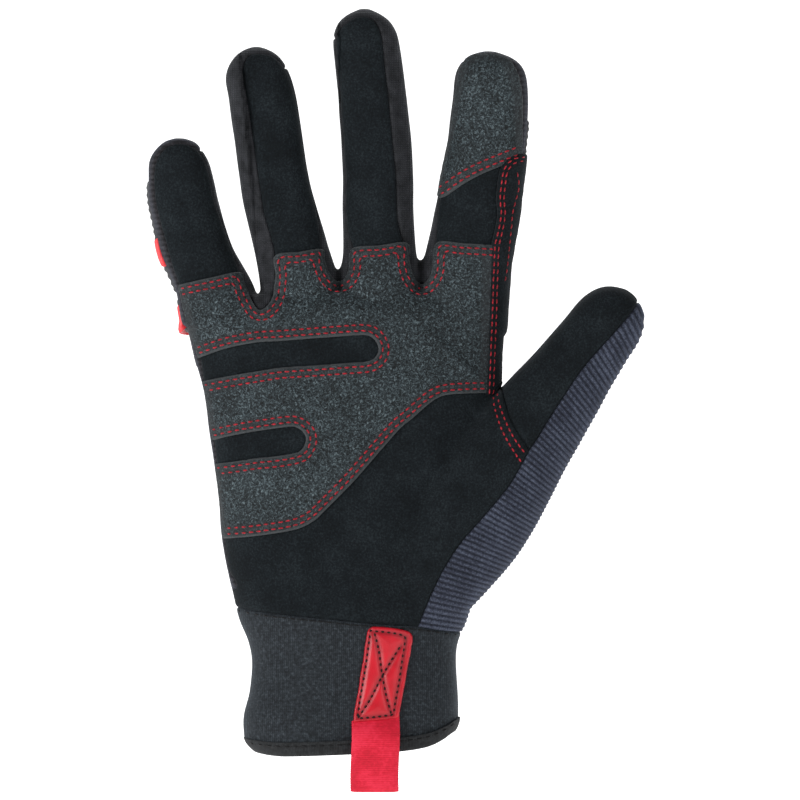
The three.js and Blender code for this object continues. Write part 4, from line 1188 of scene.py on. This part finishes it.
def glossy_leather():
    """Smooth red leather with a fine grain and a low gloss, and painted shade down in the stitch lines."""
    material, shader, make, plug = tree_of("glossy_leather")
    where = make("ShaderNodeTexCoord").outputs["Object"]
    grain = make("ShaderNodeTexVoronoi", {"feature": "DISTANCE_TO_EDGE"}, Vector=where,
                 Scale=1500.0).outputs[0]
    cloud = make("ShaderNodeTexNoise", Vector=where, Scale=180.0, Detail=4.0).outputs["Fac"]
    skin = ramp(make, cloud, [(0.3, linear(164, 8, 26)), (0.7, linear(186, 14, 34))])
    # Painted shade: the stitch lines' mask mixes the red towards a deep red where the lines sink
    sunk = make("ShaderNodeAttribute", {"attribute_name": "sunk"}).outputs["Fac"]
    shaded = make("ShaderNodeMixRGB", Fac=sunk, Color1=skin, Color2=linear(104, 6, 18)).outputs[0]
    plug(shader, "Base Color", shaded)
    bump = make("ShaderNodeBump", Height=grain, Strength=0.25, Distance=0.0002)
    plug(shader, "Normal", bump.outputs["Normal"])
    plug(shader, "Roughness", 0.36)
    plug(shader, "Specular IOR Level", 0.3)
    plug(shader, "Coat Weight", 0.1)
    plug(shader, "Coat Roughness", 0.3)
    return material


tab_lines = [np.array(seen(line, 0.4)) for line in (TAB_BOX, *TAB_CROSS)]
tab_marks = np.concatenate(tab_lines)


def puffed(places, edge):
    """Fields of the tab between its sinking stitch lines, and the bead outside the box; the lines' mask is
    also painted shade.
    """
    gaps = np.linalg.norm(places[:, None, [0, 2]] / MM - tab_marks[None], axis=2).min(axis=1) * MM
    sunk = np.exp(-(gaps / STITCH_REACH) ** 2)
    swell = np.clip(gaps / FIELD_REACH, 0, 1) * FIELD_SWELL
    return swell - STITCH_SINK * sunk, {"sunk": sunk * 0.75}


tab_outline = seen(TAB_EDGE, 0.5)
tab = copy_of(form, "pull_tab_leather")
cut(tab, front_block(tab_outline, -FAR, 0.0), "INTERSECT")
unseam(tab)
tab_leather = glossy_leather()
dress(tab, tab_leather, lift=TAB_LIFT, roll=1.3 * MM, sink=1.2 * MM, wall=1.1 * MM, relief=puffed)
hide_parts("pull_tab_patch")
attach(tab, "root")
sew("pull_tab_thread", tab_lines, surface_of(tab), (black_thread,),
    pitch=2.05, length=1.15, radius=0.34)

# Pull loop: a red woven ribbon folded in two. Both ends are tucked in under the tab, and the
# fold hangs a little below the hem.
RIBBON_WIDTH = 16.2 * MM
RIBBON_HALF = 0.45 * MM
RIBBON_MIDDLE = 8.7 * MM
# The ribbon's middle line seen from the side, as forward and up in millimetres
RIBBON_ROUTE = [(-24.2, 14.0), (-24.5, 12.2), (-25.7, 10.5), (-27.1, 8.4), (-28.3, 5.0), (-28.8, -1.0),
                (-28.9, -7.0), (-28.8, -10.2), (-28.4, -11.5), (-27.6, -11.7), (-27.0, -10.6),
                (-26.8, -7.0), (-26.7, -1.0), (-26.5, 4.0), (-26.0, 8.0), (-25.2, 10.5)]
RIBBON_SIDES = 44
RIBBON_CUP = 0.35 * MM
RIBBON_NOTCH = 0.1 * MM
RIBBON_SWAY = 0.25 * MM
WEFT_PITCH = 0.62


def woven_ribbon():
    """Plain woven ribbon: fine weft ribs across it, a notched selvedge and a faint sheen."""
    material, shader, make, plug = tree_of("woven_ribbon")
    where = make("ShaderNodeTexCoord").outputs["Object"]
    weft = make("ShaderNodeAttribute", {"attribute_name": "weft"}).outputs["Fac"]
    turn = maths(make, "MULTIPLY", weft, math.tau)
    wave = maths(make, "SINE", turn)
    yarn = make("ShaderNodeTexNoise", Vector=where, Scale=900.0, Detail=4.0).outputs["Fac"]
    cloud = make("ShaderNodeTexNoise", Vector=where, Scale=110.0, Detail=3.0).outputs["Fac"]
    mixed = maths(make, "MULTIPLY_ADD", yarn, 0.6, cloud)
    tone = maths(make, "MULTIPLY_ADD", wave, 0.06, mixed)
    plug(shader, "Base Color", ramp(make, tone, [
        (0.6, linear(172, 16, 38)), (0.8, linear(190, 22, 46)), (0.95, linear(202, 36, 60))]))
    height = maths(make, "MULTIPLY_ADD", wave, 0.5, yarn)
    bump = make("ShaderNodeBump", Height=height, Strength=0.45, Distance=0.00015)
    plug(shader, "Normal", bump.outputs["Normal"])
    plug(shader, "Roughness", 0.6)
    plug(shader, "Sheen Weight", 0.08)
    plug(shader, "Sheen Tint", linear(255, 160, 170))
    plug(shader, "Specular IOR Level", 0.2)
    return material


loop_bm = bmesh.new()
weft_layer = loop_bm.verts.layers.float.new("weft")
route = flowing(RIBBON_ROUTE, 0.35)
rings = []
reach = 0.0
for i, (y, z) in enumerate(route):
    before, after = route[max(i - 1, 0)], route[min(i + 1, len(route) - 1)]
    ahead = Vector((0, after[0] - before[0], after[1] - before[1])).normalized()
    out = Vector((1, 0, 0)).cross(ahead)
    ring = []
    for k in range(RIBBON_SIDES):
        turn = math.tau * k / RIBBON_SIDES
        c, s = math.cos(turn), math.sin(turn)
        across = math.copysign(abs(c) ** 0.35, c)
        through = math.copysign(abs(s) ** 0.8, s) * RIBBON_HALF
        cup = RIBBON_CUP * across ** 2 * (1 if ahead.z < 0 else 0.4)
        notch = RIBBON_NOTCH * math.sin(math.tau * reach / 0.8) * abs(across) ** 8
        x = RIBBON_MIDDLE + across * (RIBBON_WIDTH / 2 + notch) + RIBBON_SWAY * math.sin(z * 0.21)
        vert = loop_bm.verts.new(Vector((x, y * MM + cup, z * MM)) + out * through)
        vert[weft_layer] = reach / WEFT_PITCH
        ring.append(vert)
    if i:
        for k in range(RIBBON_SIDES):
            j = (k + 1) % RIBBON_SIDES
            loop_bm.faces.new((rings[-1][k], rings[-1][j], ring[j], ring[k]))
    rings.append(ring)
    if i + 1 < len(route):
        reach += math.dist(route[i], route[i + 1])
for end in (rings[0], rings[-1]):
    loop_bm.faces.new(end)
bmesh.ops.recalc_face_normals(loop_bm, faces=loop_bm.faces)
pull_loop = as_object(loop_bm, "pull_loop_ribbon")
pull_loop.data.materials.append(woven_ribbon())
pull_loop.data.shade_smooth()
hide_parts("pull_loop")
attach(pull_loop, "root")

# Finger guards: moulded dark rubber plates on the finger backs. Fine ribs run across them, and
# each one carries a raised red block. The outer two reach round to the side of the finger.
GUARD_LIFT = 1.3 * MM
GUARD_TUCK = 0.65
GUARD_RIB = 0.9 * MM
GUARD_PITCH = 2.5
GUARD_RIM = 0.5 * MM
GUARD_FADE = 1.0 * MM
GUARD_ROLL = 1.1 * MM
BLOCK_LIFT = 3.0 * MM
BLOCK_TUCK = 0.68
CROWN = 0.25 * MM
CROWN_REACH = 3 * MM
# A guard's outline and its red block's in pixels of the photograph, then how far behind the
# finger's middle each of the two starts, in millimetres
GUARDS = {
    "pinky": ([(120, 181), (168, 182), (186, 190), (196, 202), (206, 232), (216, 256), (222, 274),
               (212, 286), (196, 292), (172, 293), (120, 293)],
              [(120, 240), (184, 238), (192, 243), (197, 254), (192, 262), (180, 265), (120, 265)],
              -1.2, -2.6),
    "ring": ([(257, 128), (268, 124), (282, 126), (291, 134), (300, 180), (307, 228), (304, 240), (293, 245),
              (278, 243), (268, 234), (262, 190), (252, 142)],
             [(264, 176), (284, 173), (292, 180), (294, 192), (286, 199), (269, 201), (262, 194), (260, 183)],
             2.0, 2.0),
    "middle": ([(354, 90), (367, 86), (382, 89), (391, 98), (395, 150), (397, 222), (393, 236), (381, 241),
                (368, 241), (357, 232), (352, 160), (349, 100)],
               [(357, 148), (386, 146), (393, 152), (394, 166), (387, 173), (360, 175), (353, 168),
                (352, 154)],
               2.0, 2.0),
    "index": ([(468, 130), (480, 123), (500, 122), (560, 126), (560, 190), (545, 236), (520, 246), (478, 247),
               (463, 243), (456, 233), (458, 200), (461, 150)],
              [(474, 160), (490, 157), (560, 158), (560, 185), (486, 186), (472, 184), (468, 178),
               (469, 166)],
              -0.6, -1.2),
}


def moulded_rubber(name, dark, light, gloss):
    """Moulded soft rubber with a faint satin grain, a little lighter on its raised tops as a painted
    highlight.
    """
    material, shader, make, plug = tree_of(name)
    where = make("ShaderNodeTexCoord").outputs["Object"]
    grain = make("ShaderNodeTexNoise", Vector=where, Scale=1700.0, Detail=2.0).outputs["Fac"]
    cloud = make("ShaderNodeTexNoise", Vector=where, Scale=140.0, Detail=4.0).outputs["Fac"]
    # Painted highlight: the raised mask from the ribs and crowns mixes the tops lighter
    raised = make("ShaderNodeAttribute", {"attribute_name": "raised"}).outputs["Fac"]
    tone = maths(make, "MULTIPLY_ADD", raised, 0.35, cloud)
    plug(shader, "Base Color", ramp(make, tone, [(0.35, dark), (0.95, light)]))
    bump = make("ShaderNodeBump", Height=grain, Strength=0.2, Distance=0.0002)
    plug(shader, "Normal", bump.outputs["Normal"])
    plug(shader, "Roughness", gloss)
    plug(shader, "Specular IOR Level", 0.5)
    return material


guard_rubber = moulded_rubber("guard_rubber", linear(26, 27, 30), linear(58, 60, 64), 0.55)
red_rubber = moulded_rubber("red_rubber", linear(196, 34, 42), linear(226, 62, 66), 0.42)


def moulded_ribs(axis, pitch, height, rim, fade):
    """Rounded ribs set out along one axis, which fade out near the piece's edge."""
    def relief(places, edge):
        raised = 0.5 + 0.5 * np.cos(places[:, axis] / MM / pitch * math.tau)
        raised *= np.clip((edge - rim) / fade, 0, 1)
        # The rib height also goes to the shader as the mask of the painted highlight
        return raised * height, {"raised": raised}
    return relief


def crowned_top(places, edge):
    """A red block's top, very slightly crowned, and painted lighter away from its edges as a painted
    highlight.
    """
    raised = np.clip(edge / CROWN_REACH, 0, 1)
    return raised * CROWN, {"raised": raised}


def moulding(name, node, outline, near, rubber, lift, relief, roll, tuck):
    """A moulded piece that lies on the form's skin behind an outline seen from the front."""
    piece = copy_of(form, name)
    cut(piece, front_block(seen([*outline, outline[0]])[:-1], near * MM, FAR), "INTERSECT")
    unseam(piece)
    dress(piece, rubber, lift=lift, roll=roll, sink=roll * 0.9, wall=lift - 0.15 * MM, tuck=tuck,
          relief=relief)
    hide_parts(node)
    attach(piece, "root")
    return piece


guard_ribs = moulded_ribs(2, GUARD_PITCH, GUARD_RIB, GUARD_RIM, GUARD_FADE)
for finger, (outline, block, guard_near, block_near) in GUARDS.items():
    moulding(f"guard_{finger}_moulded", f"guard_{finger}", outline, guard_near, guard_rubber,
             GUARD_LIFT, guard_ribs, GUARD_ROLL, GUARD_TUCK)
    moulding(f"guard_{finger}_block", f"guard_{finger}_red", block, block_near, red_rubber,
             BLOCK_LIFT, crowned_top, GUARD_ROLL, BLOCK_TUCK)

# Knuckle guard: one moulded plate of the same dark rubber over the four knuckles, bonded to the
# knit, with shallow ribs and a raised red bar on each knuckle.
KNUCKLE_LIFT = 1.7 * MM
KNUCKLE_TUCK = 0.8
KNUCKLE_NEAR = 0.5
BAR_LIFT = 3.3 * MM
BAR_TUCK = 0.82
BAR_NEAR = -0.1
KNUCKLE_RIB = 0.7 * MM
KNUCKLE_PITCH = 3.2
KNUCKLE_RIM = 1.8 * MM
KNUCKLE_FADE = 1.5 * MM
KNUCKLE_ROLL = 1.3 * MM
BAR_ROLL = 1.2 * MM
KNUCKLE_OUTLINE = [(140, 300), (200, 298), (232, 302), (262, 306), (300, 300), (345, 293), (390, 292),
                   (424, 296), (462, 298), (482, 306), (487, 322), (484, 342), (470, 356), (430, 352),
                   (392, 348), (350, 348), (306, 352), (262, 358), (230, 364), (204, 368), (140, 362)]
KNUCKLE_BARS = {
    "pinky": [(140, 305), (206, 305), (214, 311), (218, 320), (210, 326), (140, 326)],
    "ring": [(244, 314), (282, 311), (291, 317), (292, 334), (284, 341), (248, 343), (239, 337), (237, 320)],
    "middle": [(332, 304), (374, 302), (383, 309), (384, 327), (376, 335), (336, 337), (327, 330),
               (325, 312)],
    "index": [(416, 308), (456, 311), (464, 319), (463, 335), (454, 341), (418, 339), (410, 332), (409, 315)],
}
knuckle_ribs = moulded_ribs(0, KNUCKLE_PITCH, KNUCKLE_RIB, KNUCKLE_RIM, KNUCKLE_FADE)
moulding("knuckle_guard_moulded", "knuckle_guard", KNUCKLE_OUTLINE, KNUCKLE_NEAR, guard_rubber,
         KNUCKLE_LIFT, knuckle_ribs, KNUCKLE_ROLL, KNUCKLE_TUCK)
for finger, bar in KNUCKLE_BARS.items():
    moulding(f"knuckle_bar_{finger}", f"knuckle_red_{finger}", bar, BAR_NEAR, red_rubber,
             BAR_LIFT, crowned_top, BAR_ROLL, BAR_TUCK)

# The form and the cutters have done their work and are no part of the glove
for helper in [o for o in bpy.data.objects if o.name.split(".")[0] in ("form", "cutter")]:
    bpy.data.objects.remove(helper)
